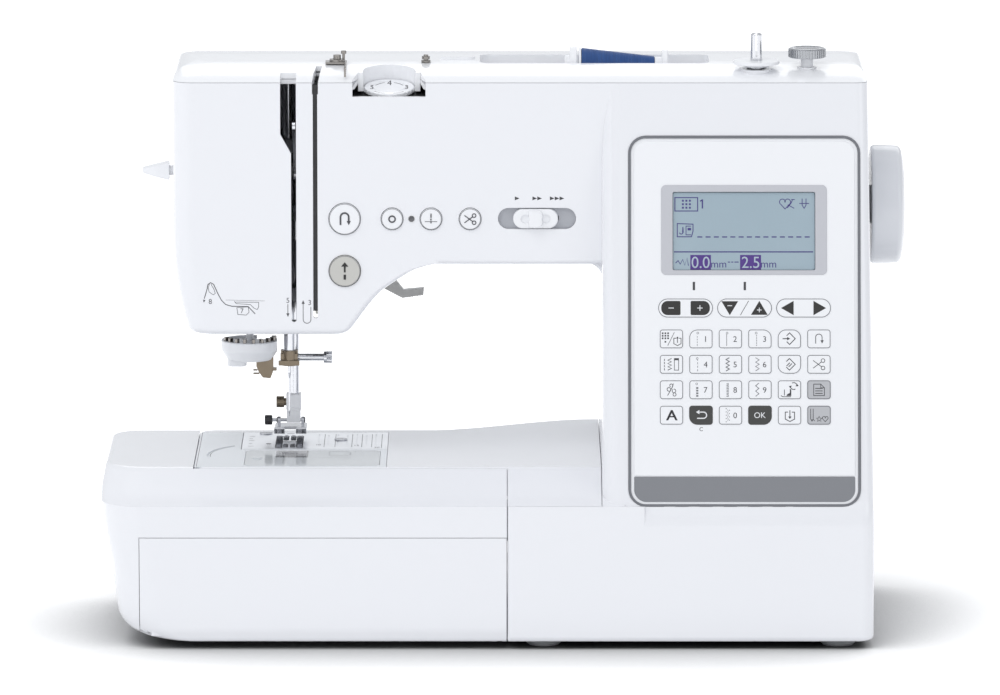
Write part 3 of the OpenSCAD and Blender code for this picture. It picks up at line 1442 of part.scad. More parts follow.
module socket_panel() {
  x0 = base_right - 6.2;
  color(dark) difference() {
    union() {
      translate([x0, 26.3, 20.3]) cube([5.4, 43.4, 43.4]);
      translate([x0 - 14, 30, 22]) cube([14.1, 36, 20]);
      translate([x0 - 3, 24, 18]) cube([3.1, 48, 48]);
    }
    // mains inlet and pedal jack
    translate([x0 - 8, 33, 26]) cube([30, 16, 9]);
    along_x(x0 - 8, x0 + 20, 58, 31, 3.2);
    // seat and pivot of the rocker
    translate([x0 - 10, switch_y - 11, 46]) cube([30, 22, 13]);
    translate([x0 + 2, switch_y, 44.4]) cylinder(r = 1 + fit, h = 16.2);
  }
  color(steel) for (y = [38, 44]) along_x(x0 - 10, x0 + 1, y, 30.5, 1);
}

module power_switch() {
  color([0.15, 0.15, 0.16]) translate([base_right - 4.2, switch_y, 0]) {
    translate([0, 0, 46.3]) rotate([0, 0, -8]) linear_extrude(12.4)
      polygon([[-3, -9.4], [3.6, -10.2], [2.6, 0], [3.6, 10.2], [-3, 9.4]]);
    translate([0, 0, 45]) cylinder(r = 1, h = 15);
  }
}

module lamps() {
  color([0.98, 0.97, 0.9]) {
    translate([-99.5, 31, head_under - 0.2]) cube([6, 10, 3.4]);
    translate([-99.7, 30, head_under + 3]) cube([6.3, frame_y0() - 24, 13]);
  }
  color([0.3, 0.8, 0.4]) along_y(-48.3, button_row_h, 1.5, -arm_front - 0.4, 7.7 - arm_front);
}

base_pan();
rubber_feet();
front_cover();
rear_cover();
top_cover();
bed_cover();
plate_cover();
needle_plate();
bobbin_cover();
housing_screws();
panel_trim();
control_panel();
lcd_screen();
circuit_boards();
socket_panel();
power_switch();
arm_frame();
shaft_bushes();
drive_motor();
timing_belts();
thread_path();
lamps();
bobbin_case();
main_shaft();
handwheel();
belt_pulleys();
needle_link();
motor_pulley();
lower_shaft();
rotary_hook();
bobbin();
feed_dog();
drop_feed_lever();
needle_bar();
needle_clamp();
clamp_screw();
needle();
take_up_lever();
presser_bar();
foot_holder();
holder_screw();
presser_foot();
presser_lever();
threader_lever();
threader_guide();
tension_dial();
speed_slider();
reverse_button();
start_button();
position_button();
needle_button();
cutter_button();
winder_shaft();
winder_stop();
thread_spool();
spool_cap();
bed_table();
accessory_lid();
lid_pins();
carry_handle();
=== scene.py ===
import math
from types import SimpleNamespace

import bmesh
import bpy
from mathutils import Matrix, Vector


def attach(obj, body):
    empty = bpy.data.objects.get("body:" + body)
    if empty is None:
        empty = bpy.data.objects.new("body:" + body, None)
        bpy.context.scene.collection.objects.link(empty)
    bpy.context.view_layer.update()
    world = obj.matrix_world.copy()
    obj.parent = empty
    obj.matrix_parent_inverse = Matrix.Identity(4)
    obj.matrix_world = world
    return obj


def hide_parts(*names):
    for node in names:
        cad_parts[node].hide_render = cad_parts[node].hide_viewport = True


# A free-arm sewing machine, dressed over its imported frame. Lengths in the tables are in millimetres.

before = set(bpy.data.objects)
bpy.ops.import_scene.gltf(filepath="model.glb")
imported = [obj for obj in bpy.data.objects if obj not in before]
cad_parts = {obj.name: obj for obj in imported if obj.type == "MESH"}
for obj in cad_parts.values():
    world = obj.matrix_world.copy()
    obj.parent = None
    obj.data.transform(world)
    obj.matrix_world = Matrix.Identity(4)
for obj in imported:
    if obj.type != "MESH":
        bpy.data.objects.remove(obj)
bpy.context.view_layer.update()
mm = 0.001
print("stage: frame loaded,", len(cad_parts), "nodes")


class Wire:
    # a socket that takes part in plain expressions
    def __init__(self, graph, socket):
        self.graph = graph
        self.socket = socket

    def combine(self, operation, first, second):
        return self.graph.add("ShaderNodeMath", {"operation": operation}, {0: first, 1: second})

    def __add__(self, other):
        return self.combine("ADD", self, other)

    def __radd__(self, other):
        return self.combine("ADD", other, self)

    def __mul__(self, other):
        return self.combine("MULTIPLY", self, other)

    def __rmul__(self, other):
        return self.combine("MULTIPLY", other, self)

    def __rtruediv__(self, other):
        return self.combine("DIVIDE", other, self)


class Tree:
    # a node's type, its settings, the values or links of its sockets, and the output wanted
    def add(self, kind, settings=None, inputs=None, output=0):
        node = self.tree.nodes.new(kind)
        for key, value in (settings or {}).items():
            setattr(node, key, value)
        for key, value in (inputs or {}).items():
            if isinstance(value, Wire):
                self.tree.links.new(value.socket, node.inputs[key])
            else:
                node.inputs[key].default_value = value
        return Wire(self, node.outputs[output])


class Graph(Tree):
    # one material and its nodes
    def __init__(self, name):
        self.material = bpy.data.materials.new(name)
        self.material.use_nodes = True
        self.tree = self.material.node_tree
        self.tree.nodes.clear()
        self.out = self.tree.nodes.new("ShaderNodeOutputMaterial")

    def place(self):
        return self.add("ShaderNodeTexCoord", output="Object")

    def noise(self, scale, detail=2.0, stretch=(1, 1, 1)):
        spot = self.place()
        if stretch != (1, 1, 1):
            spot = self.add("ShaderNodeMapping", {}, {"Vector": spot, "Scale": stretch})
        inputs = {"Vector": spot, "Scale": scale, "Detail": detail}
        return self.add("ShaderNodeTexNoise", {}, inputs, "Fac")

    def blend(self, factor, first, second):
        # mixes two colours
        return self.add("ShaderNodeMix", {"data_type": "RGBA"}, {0: factor, 6: first, 7: second}, 2)

    def bump(self, height, strength, distance, normal=None):
        inputs = {"Height": height, "Strength": strength, "Distance": distance * mm}
        if normal:
            inputs["Normal"] = normal
        return self.add("ShaderNodeBump", {}, inputs)

    def rounded(self, radius):
        # edges rounded in the light
        return self.add("ShaderNodeBevel", {"samples": 4}, {"Radius": radius * mm})

    def finish(self, shader):
        self.tree.links.new(shader.socket, self.out.inputs["Surface"])
        return self.material

    def surface(self, colour, roughness, **more):
        # further sockets are named in camelCase, as in coatWeight
        inputs = {"Base Color": colour, "Roughness": roughness}
        for key, value in more.items():
            inputs["".join(" " + c if c.isupper() else c for c in key).title()] = value
        return self.finish(self.add("ShaderNodeBsdfPrincipled", {}, inputs))


def rgb(red, green, blue):
    # a display colour from 0 to 255, as the shader wants it
    def linear(c):
        c = c / 255
        return c / 12.92 if c <= 0.04045 else ((c + 0.055) / 1.055) ** 2.4
    return (linear(red), linear(green), linear(blue), 1.0)


def shade(colour, amount):
    return tuple(c * amount for c in colour[:3]) + (1.0,)


# moulded plastic: faint mottling, fine orange peel, rounded edges in the light
def plastic(name, colour, roughness, coat, peel, edge=0.35, grain=900.0, mottle=0.985):
    g = Graph(name)
    cloud = g.noise(14.0, 3.0)
    tint = g.blend(cloud, shade(colour, mottle), colour)
    normal = g.bump(g.noise(grain), peel, 0.02, g.rounded(edge))
    return g.surface(tint, roughness + 0.05 * cloud, coatWeight=coat, coatRoughness=0.06, normal=normal)


# metal with fine turning or brushing lines
def metal(name, colour, roughness=0.22, stretch=(1, 1, 60), grain=260.0, depth=0.12, dark=0.82):
    g = Graph(name)
    lines = g.noise(grain, 3.0, stretch)
    tint = g.blend(g.noise(45.0), shade(colour, dark), colour)
    normal = g.bump(lines, depth, 0.02, g.rounded(0.15))
    return g.surface(tint, roughness + 0.12 * lines, metallic=1.0, normal=normal)


def rubber(name, colour):
    g = Graph(name)
    grain = g.noise(700.0, 4.0)
    tint = g.blend(g.noise(40.0), shade(colour, 0.8), colour)
    return g.surface(tint, 0.75 + 0.15 * grain, normal=g.bump(grain, 0.3, 0.05))


# printed ink, a little uneven
def ink(name, colour, roughness=0.5):
    g = Graph(name)
    cloud = g.noise(300.0)
    return g.surface(g.blend(cloud, shade(colour, 0.92), colour), roughness + 0.1 * cloud)


def clearPlastic(name, colour, alpha):
    g = Graph(name)
    cloud = g.noise(60.0)
    tint = g.blend(cloud, shade(colour, 0.97), colour)
    return g.surface(tint, 0.08 + 0.05 * cloud, alpha=alpha + 0.06 * cloud, coatWeight=0.5,
                     coatRoughness=0.05)


# circuit board lacquer with faint copper runs
def boardLacquer(name, green, copper):
    g = Graph(name)
    weave = g.noise(500.0, 3.0)
    layout = {"Vector": g.place(), "Scale": 160.0, "Mortar Size": 0.06}
    runs = g.add("ShaderNodeTexBrick", {}, layout, "Fac")
    tint = g.blend(runs, green, rgb(*copper))
    return g.surface(tint, 0.35 + 0.1 * weave, normal=g.bump(weave, 0.1, 0.03))


# wound thread: strands run round the spool and cross
def threadWinding(name, colour):
    g = Graph(name)
    strands = g.noise(120.0, 2.0, (30, 1, 1))
    fuzz = g.noise(2500.0)
    tint = g.blend(strands, shade(colour, 0.55), shade(colour, 1.25))
    return g.surface(tint, 0.55 + 0.2 * fuzz, sheenWeight=0.3, sheenRoughness=0.4,
                     normal=g.bump(strands, 0.6, 0.15))


# liquid crystal glass: a faint cloud and the fine squares of its dots
def displayGlass(name, low, high, dots):
    g = Graph(name)
    cloud = g.noise(12.0)
    fine = g.add("ShaderNodeTexChecker", {}, {"Vector": g.place(), "Scale": 2400.0}, "Fac")
    tint = g.blend(fine * 0.04, g.blend(cloud, low, rgb(*high)), rgb(*dots))
    return g.surface(tint, 0.22 + 0.05 * cloud, coatWeight=0.4, coatRoughness=0.04)


# each finish by kind: colour, then the values of its function above in their order
finishTables = (
    (plastic, {
        "coverPlastic": ((238, 239, 243), 0.2, 0.5, 0.04),
        "topPlastic": ((246, 247, 250), 0.22, 0.45, 0.04),
        "panelPlastic": ((243, 244, 247), 0.3, 0.2, 0.03, 0.2),
        "smallPlastic": ((242, 243, 246), 0.3, 0.2, 0.06, 0.25),
        "platePlastic": ((222, 226, 230), 0.3, 0.2, 0.06, 0.15),
        "wheelPlastic": ((222, 224, 229), 0.28, 0.3, 0.05, 0.5),
        "handlePlastic": ((228, 230, 235), 0.35, 0.15, 0.08, 0.5),
        "startPlastic": ((198, 197, 192), 0.35, 0.15, 0.08, 0.25),
        "leverPlastic": ((176, 175, 172), 0.4, 0.1, 0.12, 0.25),
        "trimPlastic": ((118, 120, 126), 0.35, 0.1, 0.1, 0.15),
        "bezelPlastic": ((196, 197, 203), 0.4, 0.1, 0.12, 0.3),
        "bandPlastic": ((131, 133, 138), 0.35, 0.2, 0.06, 0.15),
        "panPlastic": ((150, 152, 156), 0.6, 0.0, 0.3, 0.35, 350.0),
        "blackPlastic": ((42, 42, 44), 0.4, 0.1, 0.15, 0.2, 900.0, 0.9),
        "pulleyPlastic": ((222, 221, 212), 0.45, 0.05, 0.1, 0.2),
        "motorPaint": ((86, 88, 94), 0.45, 0.3, 0.2, 0.35, 600.0),
        "greyKey": ((188, 189, 193), 0.35, 0.15, 0.05, 0.15),
        "darkKey": ((64, 64, 62), 0.3, 0.2, 0.05, 0.15),
        "lampDark": ((88, 88, 92), 0.25, 0.4, 0.03, 0.2),
        # painted shade for the slider's recess
        "recessPlastic": ((176, 178, 184), 0.5, 0.0, 0.1, 0.1),
        # painted shade for the hook's well under the bobbin cover
        "smoke": ((62, 63, 66), 0.1, 0.6, 0.02, 0.3),
    }),
    (metal, {
        "steel": ((205, 206, 210),),
        "brushedSteel": ((226, 228, 232), 0.3, (60, 1, 1), 120.0),
        "chrome": ((215, 216, 220), 0.1, (1, 1, 30), 200.0, 0.05, 0.9),
        "castMetal": ((165, 167, 171), 0.5, (1, 1, 1), 380.0, 0.5),
        "bronze": ((136, 124, 108), 0.3, (1, 1, 1), 300.0, 0.2, 0.7),
        "bushBronze": ((190, 150, 98), 0.4, (1, 1, 1), 500.0, 0.3),
        "darkChrome": ((150, 146, 142), 0.16, (1, 1, 30), 200.0, 0.05, 0.75),
        "knurled": ((178, 180, 184), 0.2, (1, 1, 20), 200.0, 0.08, 0.8),
    }),
    (ink, {
        "inkDark": ((62, 62, 66),), "inkGrey": ((118, 119, 124),), "inkKey": ((48, 47, 46), 0.35),
        "inkPale": ((236, 237, 240),), "inkScreen": ((74, 66, 130), 0.3), "inkField": ((84, 58, 136), 0.3),
        "inkScreenPale": ((176, 190, 204), 0.3), "inkRing": ((126, 127, 131),),
        "inkMark": ((78, 78, 83),), "inkBlack": ((30, 30, 30), 0.4),
    }),
    (rubber, {"footRubber": ((168, 169, 172),), "beltRubber": ((34, 34, 36),)}),
    (clearPlastic, {
        "clearCover": ((236, 240, 243), 0.8), "clearBobbin": ((226, 232, 236), 0.5),
        "lampClear": ((240, 238, 226), 0.8),
    }),
    (boardLacquer, {"boardLacquer": ((18, 92, 52), (60, 140, 84))}),
    (threadWinding, {"thread": ((38, 82, 146),)}),
    (displayGlass, {"display": ((150, 169, 181), (172, 190, 200), (120, 140, 155))}),
)
finishes = {}
for kind, table in finishTables:
    for finishName, (colour, *values) in table.items():
        finishes[finishName] = kind(finishName, rgb(*colour), *values)

# the nodes of the frame that take each finish
nodesOf = {
    "coverPlastic": "front_cover rear_cover bed_cover bed_table accessory_lid",
    "topPlastic": "top_cover tension_dial",
    "smallPlastic": "foot_holder threader_lever threader_guide speed_slider reverse_button"
                    " position_button needle_button cutter_button spool_cap",
    "blackPlastic": "socket_panel power_switch bobbin_case drop_feed_lever",
    "panelPlastic": "control_panel", "trimPlastic": "panel_trim", "platePlastic": "plate_cover",
    "panPlastic": "base_pan", "pulleyPlastic": "belt_pulleys motor_pulley", "wheelPlastic": "handwheel",
    "handlePlastic": "carry_handle", "leverPlastic": "presser_lever", "startPlastic": "start_button",
    "steel": "lid_pins main_shaft needle_link lower_shaft rotary_hook feed_dog",
    "brushedSteel": "needle_plate",
    "chrome": "housing_screws needle_bar clamp_screw needle take_up_lever presser_bar presser_foot"
              " winder_shaft winder_stop",
    "darkChrome": "thread_path", "bronze": "needle_clamp holder_screw", "bushBronze": "shaft_bushes",
    "castMetal": "arm_frame", "motorPaint": "drive_motor", "footRubber": "rubber_feet",
    "beltRubber": "timing_belts", "clearCover": "bobbin_cover", "clearBobbin": "bobbin",
    "lampClear": "lamps", "display": "lcd_screen", "boardLacquer": "circuit_boards",
    "thread": "thread_spool",
}
nodeFinish = {node: finish for finish, nodes in nodesOf.items() for node in nodes.split()}
for nodeName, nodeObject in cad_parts.items():
    nodeObject.data.materials.clear()
    nodeObject.data.materials.append(finishes[nodeFinish[nodeName]])
print("stage: finishes on the frame")


def fromBmesh(name, bm):
    mesh = bpy.data.meshes.new(name)
    bm.to_mesh(mesh)
    bm.free()
    return bpy.data.objects.new(name, mesh)


def hull(points):
    # the tightest solid round points in millimetres
    bm = bmesh.new()
    for x, y, z in points:
        bm.verts.new((x * mm, y * mm, z * mm))
    result = bmesh.ops.convex_hull(bm, input=bm.verts)
    inside = result["geom_interior"] + result["geom_unused"]
    spare = {v for v in inside if isinstance(v, bmesh.types.BMVert)}
    bmesh.ops.delete(bm, geom=list(spare), context="VERTS")
    bmesh.ops.recalc_face_normals(bm, faces=bm.faces)
    return fromBmesh("hull", bm)


def box(x0, x1, y0, y1, z0, z1):
    # the corners of a box
    return [(x, y, z) for x in (x0, x1) for y in (y0, y1) for z in (z0, z1)]


def block(*sides):
    return hull(box(*sides))


def circle(r, n=32, x=0.0, y=0.0):
    return [(x + r * math.cos(2 * math.pi * k / n), y + r * math.sin(2 * math.pi * k / n)) for k in range(n)]


def arc(cx, cy, r, start, end, n=12):
    return [(cx + r * math.cos(math.radians(start + (end - start) * k / n)),
             cy + r * math.sin(math.radians(start + (end - start) * k / n))) for k in range(n + 1)]


def posts(axis, centres, r, low, high, n=20):
    # the rims of round posts that stand along an axis
    points = []
    for centre in centres:
        for u, v in circle(r, n, *centre):
            for end in (low, high):
                points.append({"x": (end, u, v), "y": (u, end, v), "z": (u, v, end)}[axis])
    return points


def outline(x0, x1, y0, y1, r, n=12):
    # a rounded rectangle, radii front left, front right, rear right, rear left
    return (arc(x0 + r[0], y0 + r[0], r[0], 180, 270, n) + arc(x1 - r[1], y0 + r[1], r[1], 270, 360, n)
            + arc(x1 - r[2], y1 - r[2], r[2], 0, 90, n) + arc(x0 + r[3], y1 - r[3], r[3], 90, 180, n))


def roundBox(w, h, r, n=6, x=0.0, y=0.0):
    return outline(x - w / 2, x + w / 2, y - h / 2, y + h / 2, [r] * 4, n)


def anticlockwise(shape):
    area = sum(a[0] * b[1] - b[0] * a[1] for a, b in zip(shape, shape[1:] + shape[:1]))
    return shape if area > 0 else shape[::-1]


def loft(rings, bored=False):
    # a skin over (height, outline) rings of equal length, the last meeting the first if bored
    count = len(rings[0][1])
    points = [(p[0] * mm, p[1] * mm, z * mm) for z, ring in rings for p in ring]
    faces = []
    if not bored:
        faces = [list(range(count))[::-1], [(len(rings) - 1) * count + j for j in range(count)]]
    for i in range(len(rings) if bored else len(rings) - 1):
        for j in range(count):
            k = (j + 1) % count
            up = (i + 1) % len(rings)
            faces.append([i * count + j, i * count + k, up * count + k, up * count + j])
    mesh = bpy.data.meshes.new("loft")
    mesh.from_pydata(points, [], faces)
    return bpy.data.objects.new("loft", mesh)


def eased(shape, edges):
    # a solid whose outline draws in near its edges; shape gives the outline at an inset
    return loft([(z, shape(inset)) for z, inset in edges])


def prism(shape, low, high, place=None):
    # a flat outline pulled from low to high, then set in place
    shape = anticlockwise(shape)
    body = loft([(low, shape), (high, shape)])
    if place is not None:
        body.data.transform(place)
    return body


def turned(profile, place, n=64):
    # a lathe shape about local Z; profile is (radius, height), from axis to axis or round a bore
    rings = [(z, circle(max(r, 0.001), n)) for r, z in profile]
    body = loft(rings, profile[0][0] > 0.5 and profile[0][0] == profile[-1][0])
    body.data.transform(place)
    return body


def spot(x=0.0, y=0.0, z=0.0):
    return Matrix.Translation((x * mm, y * mm, z * mm))


def turn(degrees, axis):
    return Matrix.Rotation(math.radians(degrees), 4, axis)


def facing(x, y, z, axis):
    # local Z turned towards an axis
    turns = {"x": (90, "Y"), "y": (-90, "X"), "-y": (90, "X"), "z": (0, "Z")}
    return spot(x, y, z) @ turn(*turns[axis])


def rod(x, y, z, r, length, axis="z", n=48):
    return prism(circle(r, n), 0, length, facing(x, y, z, axis))


def smooth(x, table):
    # a monotone curve through the points of a table
    if x <= table[0][0]:
        return table[0][1]
    if x >= table[-1][0]:
        return table[-1][1]
    slopes = [(b[1] - a[1]) / (b[0] - a[0]) for a, b in zip(table, table[1:])]
    tangents = [slopes[0]]
    for before, after in zip(slopes, slopes[1:]):
        tangents.append(0.0 if before * after <= 0 else 2 * before * after / (before + after))
    tangents.append(slopes[-1])
    for i in range(len(table) - 1):
        (xa, ya), (xb, yb) = table[i], table[i + 1]
        if x <= xb:
            h = xb - xa
            t = (x - xa) / h
            return ((2 * t ** 3 - 3 * t * t + 1) * ya + (t ** 3 - 2 * t * t + t) * h * tangents[i]
                    + (3 * t * t - 2 * t ** 3) * yb + (t ** 3 - t * t) * h * tangents[i + 1])


def steps(low, high, count):
    return [low + (high - low) * k / count for k in range(count + 1)]


def combine(body, tools, operation):
    # body with all the tools joined on, cut away or kept in common
    scene = bpy.context.scene
    group = bpy.data.collections.new("tools")
    scene.collection.children.link(group)
    for tool in tools:
        group.objects.link(tool)
    scene.collection.objects.link(body)
    cut = body.modifiers.new("cut", "BOOLEAN")
    cut.operation = operation
    cut.solver = "MANIFOLD"
    cut.operand_type = "COLLECTION"
    cut.collection = group
    mesh = bpy.data.meshes.new_from_object(body.evaluated_get(bpy.context.evaluated_depsgraph_get()))
    for tool in tools:
        bpy.data.objects.remove(tool)
    bpy.data.collections.remove(group)
    bpy.data.objects.remove(body)
    return bpy.data.objects.new("solid", mesh)


def joined(first, *more):
    return combine(first, more, "UNION")


def less(body, *tools):
    return combine(body, tools, "DIFFERENCE")


def common(body, other):
    return combine(body, [other], "INTERSECT")


def merge(parts):
    # several meshes in one object, kept as separate shells
    bm = bmesh.new()
    for part in parts:
        bm.from_mesh(part.data)
    return fromBmesh("merged", bm)


def bakedMesh(body):
    graph = bpy.context.evaluated_depsgraph_get()
    return bpy.data.meshes.new_from_object(body.evaluated_get(graph), preserve_all_data_layers=True,
                                           depsgraph=graph)


def finishPiece(body, name, finish, bodyName="housing", nodes=(), place=None, angle=28.0, flat=False):
    # names a piece, smooths it by angle and hands it to its body
    mesh = body.data
    if place is not None:
        mesh.transform(place)
    body.name = name
    mesh.materials.clear()
    mesh.materials.append(finishes[finish])
    bpy.context.scene.collection.objects.link(body)
    if not flat:
        mesh.shade_smooth()
        mesh.set_sharp_from_angle(angle=math.radians(angle))
        weigh = body.modifiers.new("weigh", "WEIGHTED_NORMAL")
        weigh.keep_sharp = True
        weigh.weight = 50
        baked = bakedMesh(body)
        baked.name = name
        body.modifiers.clear()
        body.data = baked
    if nodes:
        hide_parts(*nodes)
    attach(body, bodyName)
    return body


# housing: main measures, shared by the covers, the bed and the table
size = {
    "bedH": 90, "half": 90, "baseRight": 190, "baseLeft": 1.3, "shoulderH": 75, "shoulderDepth": 33,
    "footH": 4, "armEnd": 161, "freeFront": 58.6, "freeRear": 55, "freeUnder": 26, "creaseH": 287.8,
    "crown": 6.4, "armFront": 40, "armRear": 68, "armUnder": 193, "headUnder": 156.2, "headLeft": 171.6,
    "pillarLeft": 50, "pillarTaper": 3, "sillH": 62, "wall": 2.5, "seam": 0.25, "splitY": 14, "edge": 3,
    "leanH": 78, "leanIn": 3.5, "throatR": 9, "panelX": 123.2, "flareX": -45,
}
form = SimpleNamespace(**size)
lean = math.degrees(math.atan2(form.half - form.leanIn - form.armFront, form.creaseH - form.leanH))


def shrink(radii, i):
    return [max(r - i, 0.5) for r in radii]


def headSide(z):
    return -form.headLeft + (6.7 * ((210 - z) / 48) ** 2 if z < 210 else 0)


def rightSide(z):
    return form.baseRight - form.pillarTaper * max(0, z - 60) / (form.creaseH - 60)


def frontSide(z):
    if z < form.sillH:
        return -form.half
    if z < form.leanH:
        return -form.half + form.leanIn * ((z - form.sillH) / (form.leanH - form.sillH)) ** 2
    return -form.half + form.leanIn + (form.half - form.leanIn - form.armFront) * (z - form.leanH) / (
        form.creaseH - form.leanH)


def rearSide(z):
    if z < form.sillH:
        return form.half
    return form.half - (form.half - form.armRear) * (z - form.sillH) / (form.creaseH - form.sillH)


def crownRise(d):
    return form.crown * smooth(d, [(0, 0), (7, 0.375), (17, 0.72), (28, 0.92), (38, 1)])


def topH(y):
    return form.creaseH + crownRise(y + form.armFront)


def lowEdge(bottom, radius, count=5):
    # heights and insets of a rounded lower edge
    return [(bottom + radius * (1 - math.cos(t)), radius * (1 - math.sin(t)))
            for t in [math.pi / 2 * k / count for k in range(count + 1)]]


# Each form below takes the inset i that makes its inner wall. Pillar and base are open underneath, so
# their inner walls start 1 lower.
def headForm(i):
    cheek = [(0, -82), (3.4, -79.4), (21.6, -65), (29, -54.8), (35.2, -43.5), (37.8, -32), (132, -32)]
    top = form.creaseH - form.headUnder - i
    rises = lowEdge(0, 3.4) + [(z, 0) for z in steps(5, 37.8, 18)] + [(48, 0), (54, 0), (top, 0)]
    rings = []
    for rise, inset in rises:
        z = form.headUnder + i + rise
        e = i + inset
        rings.append((z, outline(headSide(z - i) + e, smooth(rise, cheek) - e, e - form.armFront,
                                 form.armRear - e, shrink([10, 4, 6, 10], i))))
    return loft(rings)


def armForm(i):
    rises = lowEdge(0, form.edge) + [(form.creaseH - form.armUnder - i, 0)]
    return loft([(form.armUnder + i + rise, outline(
        -62, form.pillarLeft + 22, i + inset - form.armFront, form.armRear - i - inset, [0.5] * 4, 1))
        for rise, inset in rises])


def domeForm(i):
    x0 = headSide(form.creaseH)
    x1 = rightSide(form.creaseH)
    y0 = i - form.armFront
    y1 = form.armRear - i
    radii = shrink([10, 6, 10, 10], i)
    fronts = [0, 1.5, 3, 5, 7, 9.5, 12, 14.5, 17, 20, 24, 28, 33, 38]
    left = [(0, 0), (0.375, 0.8), (0.72, 3.4), (0.92, 8), (1, 13)]
    right = [(0, 0), (0.375, 0.8), (0.72, 2.4), (0.92, 5), (1, 8)]
    rear = [(0, 0), (0.375, 5), (0.72, 14), (0.92, 28), (1, 42)]
    rings = [(form.creaseH - 6, outline(x0 + i, x1 - i, y0, y1, radii))]
    for d in fronts:
        rise = crownRise(d) / form.crown
        rings.append((form.creaseH - i + form.crown * rise, outline(
            x0 + i + smooth(rise, left), x1 - i - smooth(rise, right), y0 + d,
            y1 - smooth(rise, rear), radii)))
    return loft(rings)


def pillarForm(i):
    heights = [(z, 0) for z in [60] + steps(form.sillH, form.leanH, 6) + [form.creaseH]]
    return loft([(z, outline(form.pillarLeft + i + e, rightSide(z) - i - e, frontSide(z) + i + e,
                             rearSide(z) - i - e, shrink([9, 6, 10, 8], i)))
                 for z, e in lowEdge(form.footH - (1 if i else 0), form.edge) + heights])


def baseForm(i):
    rings = lowEdge(form.footH - (1 if i else 0), form.edge) + [(form.sillH, 0), (form.shoulderH, 0)]
    return loft([(z - (i if z == form.shoulderH else 0), outline(
        form.baseLeft + i, form.pillarLeft + 22, -form.half + i + e, form.half - i - e,
        shrink([1.5, 1, 1, 46], i), 16)) for z, e in rings])


slope = [(0, 0), (0.2, 0.26), (0.5, 0.53), (0.8, 0.8), (0.95, 0.94), (1, 1)]


def shoulderForm(i):
    rise = form.bedH - form.shoulderH
    rings = [(-8, 0, 0)]
    for t in [0, 0.04, 0.09, 0.15, 0.22, 0.3, 0.4, 0.5, 0.6, 0.7, 0.8, 0.87, 0.92, 0.96, 1]:
        rings.append((t * rise, smooth(t, slope), 1.6 * max(0, (t - 0.9) / 0.1) ** 2))
    return loft([(form.shoulderH - i + up, outline(
        form.baseLeft + i, form.pillarLeft + 12, -form.half + i * 1.3 + deep * form.shoulderDepth,
        form.half - i - back, shrink([1.5, 1, 1, 46], i), 16)) for up, deep, back in rings])


def flareForm(i):
    x0 = form.flareX
    x1 = form.pillarLeft

    def rear(x):
        swing = 1 - math.cos(math.pi * (x - x0) / (x1 - x0))
        return form.freeRear + (form.half - form.freeRear) * swing / 2
    top = form.bedH - i
    rings = []
    for z, e in ((form.freeUnder + 6 + i, 0), (top - 2, 0), (top - 1.2, 0.2), (top - 0.5, 0.6), (top, 1.6)):
        curve = [(x, rear(x) - i - e) for x in steps(x1, x0, 30)]
        rings.append((z, [(x0, 20), (x1 + 12, 20), (x1 + 12, form.half - i - e)] + curve))
    return loft(rings)


def freeForm(i):
    top = form.bedH - i
    rings = [(form.freeUnder + i + z, e) for z, e in lowEdge(0, 7, 8)]
    rings += [(top - 1.2, 0), (top - 0.5, 0.2), (top, 0.9)]
    return loft([(z, outline(-form.armEnd + i + e, form.pillarLeft + 12, -form.freeFront + i + e,
                             form.freeRear - i - e, shrink([6, 1, 1, 8], i))) for z, e in rings])


def housing(i):
    return joined(*(each(i) for each in (headForm, armForm, pillarForm, baseForm, shoulderForm, flareForm,
                                         freeForm)))


def throatFillet():
    # the rounded corner under the arm, beside the pillar
    r = form.throatR
    shape = [(r + 2, r + 2), (0, r + 2)]
    shape += [(r * math.sin(t), r * math.cos(t)) for t in steps(0, math.pi / 2, 12)] + [(r + 2, 0)]
    place = spot(form.pillarLeft - r + 0.6, 0, form.armUnder - r + 0.6) @ turn(90, "X")
    return prism(shape[::-1], -form.armRear + form.edge, form.armFront - form.edge, place)


def slotY(x0, x1, z0, z1, y0, y1, n=20):
    # a slot with round ends, cut along Y
    r = min(x1 - x0, z1 - z0) / 2
    return hull(posts("y", [(x, z) for x in (x0 + r, x1 - r) for z in (z0 + r, z1 - r)], r, y0, y1, n))


# the two slots of the thread path; depth is measured from the front of the arm
threadSlot = {"x": -109.1, "half": 1.3, "low": 163, "top": 300, "depth": (-6, 12), "wideLeft": 6.8,
              "wideLow": (260, 250), "rightX": (-99.1, -96.8), "rightLow": 165,
              "tail": ((-99.1, -40), (-96.8, -40), (-95, -16), (-97.3, -16))}


def threadSlots():
    x, half, top = threadSlot["x"], threadSlot["half"], threadSlot["top"]
    y0, y1 = (depth - form.armFront for depth in threadSlot["depth"])
    wide = []
    for left, low in zip((threadSlot["wideLeft"], half), threadSlot["wideLow"]):
        wide += [(px, pz) for px in (x - left + half, x) for pz in (low + half, top)]
    tail = posts("z", threadSlot["tail"], 0.4, form.creaseH - 6, form.creaseH + 14, 10)
    return [slotY(x - half, x + half, threadSlot["low"], top, y0, y1),
            hull(posts("y", wide, half, y0, y1, 16)),
            slotY(*threadSlot["rightX"], threadSlot["rightLow"], top, y0, y1), hull(tail)]


# openings of the covers; blocks are x, y and z from and to
opening = {
    "mouthX": (-150, -96), "mouthY": (-2, 46), "mouthCorner": 3, "arm": (-58.9, 55.3, 25.7, 116),
    "threader": ((5, 200), (5, 242)), "threaderRadius": 3.2, "screen": (76, 43, 0.6),
    "lever": ((-77.4, 159), (-80.2, 166), (-67.5, 183), (-62.6, 178.9)), "leverRadius": 1,
    "sockets": (182, 202, 26, 70, 20, 64),
    # rows of vents: first, pitch, width, count, then heights and depths
    "vents": ((72, 13, 6, 7, 34, 66, 80, 95), (72, 15, 6, 6, 240, 262, 60, 90)),
}


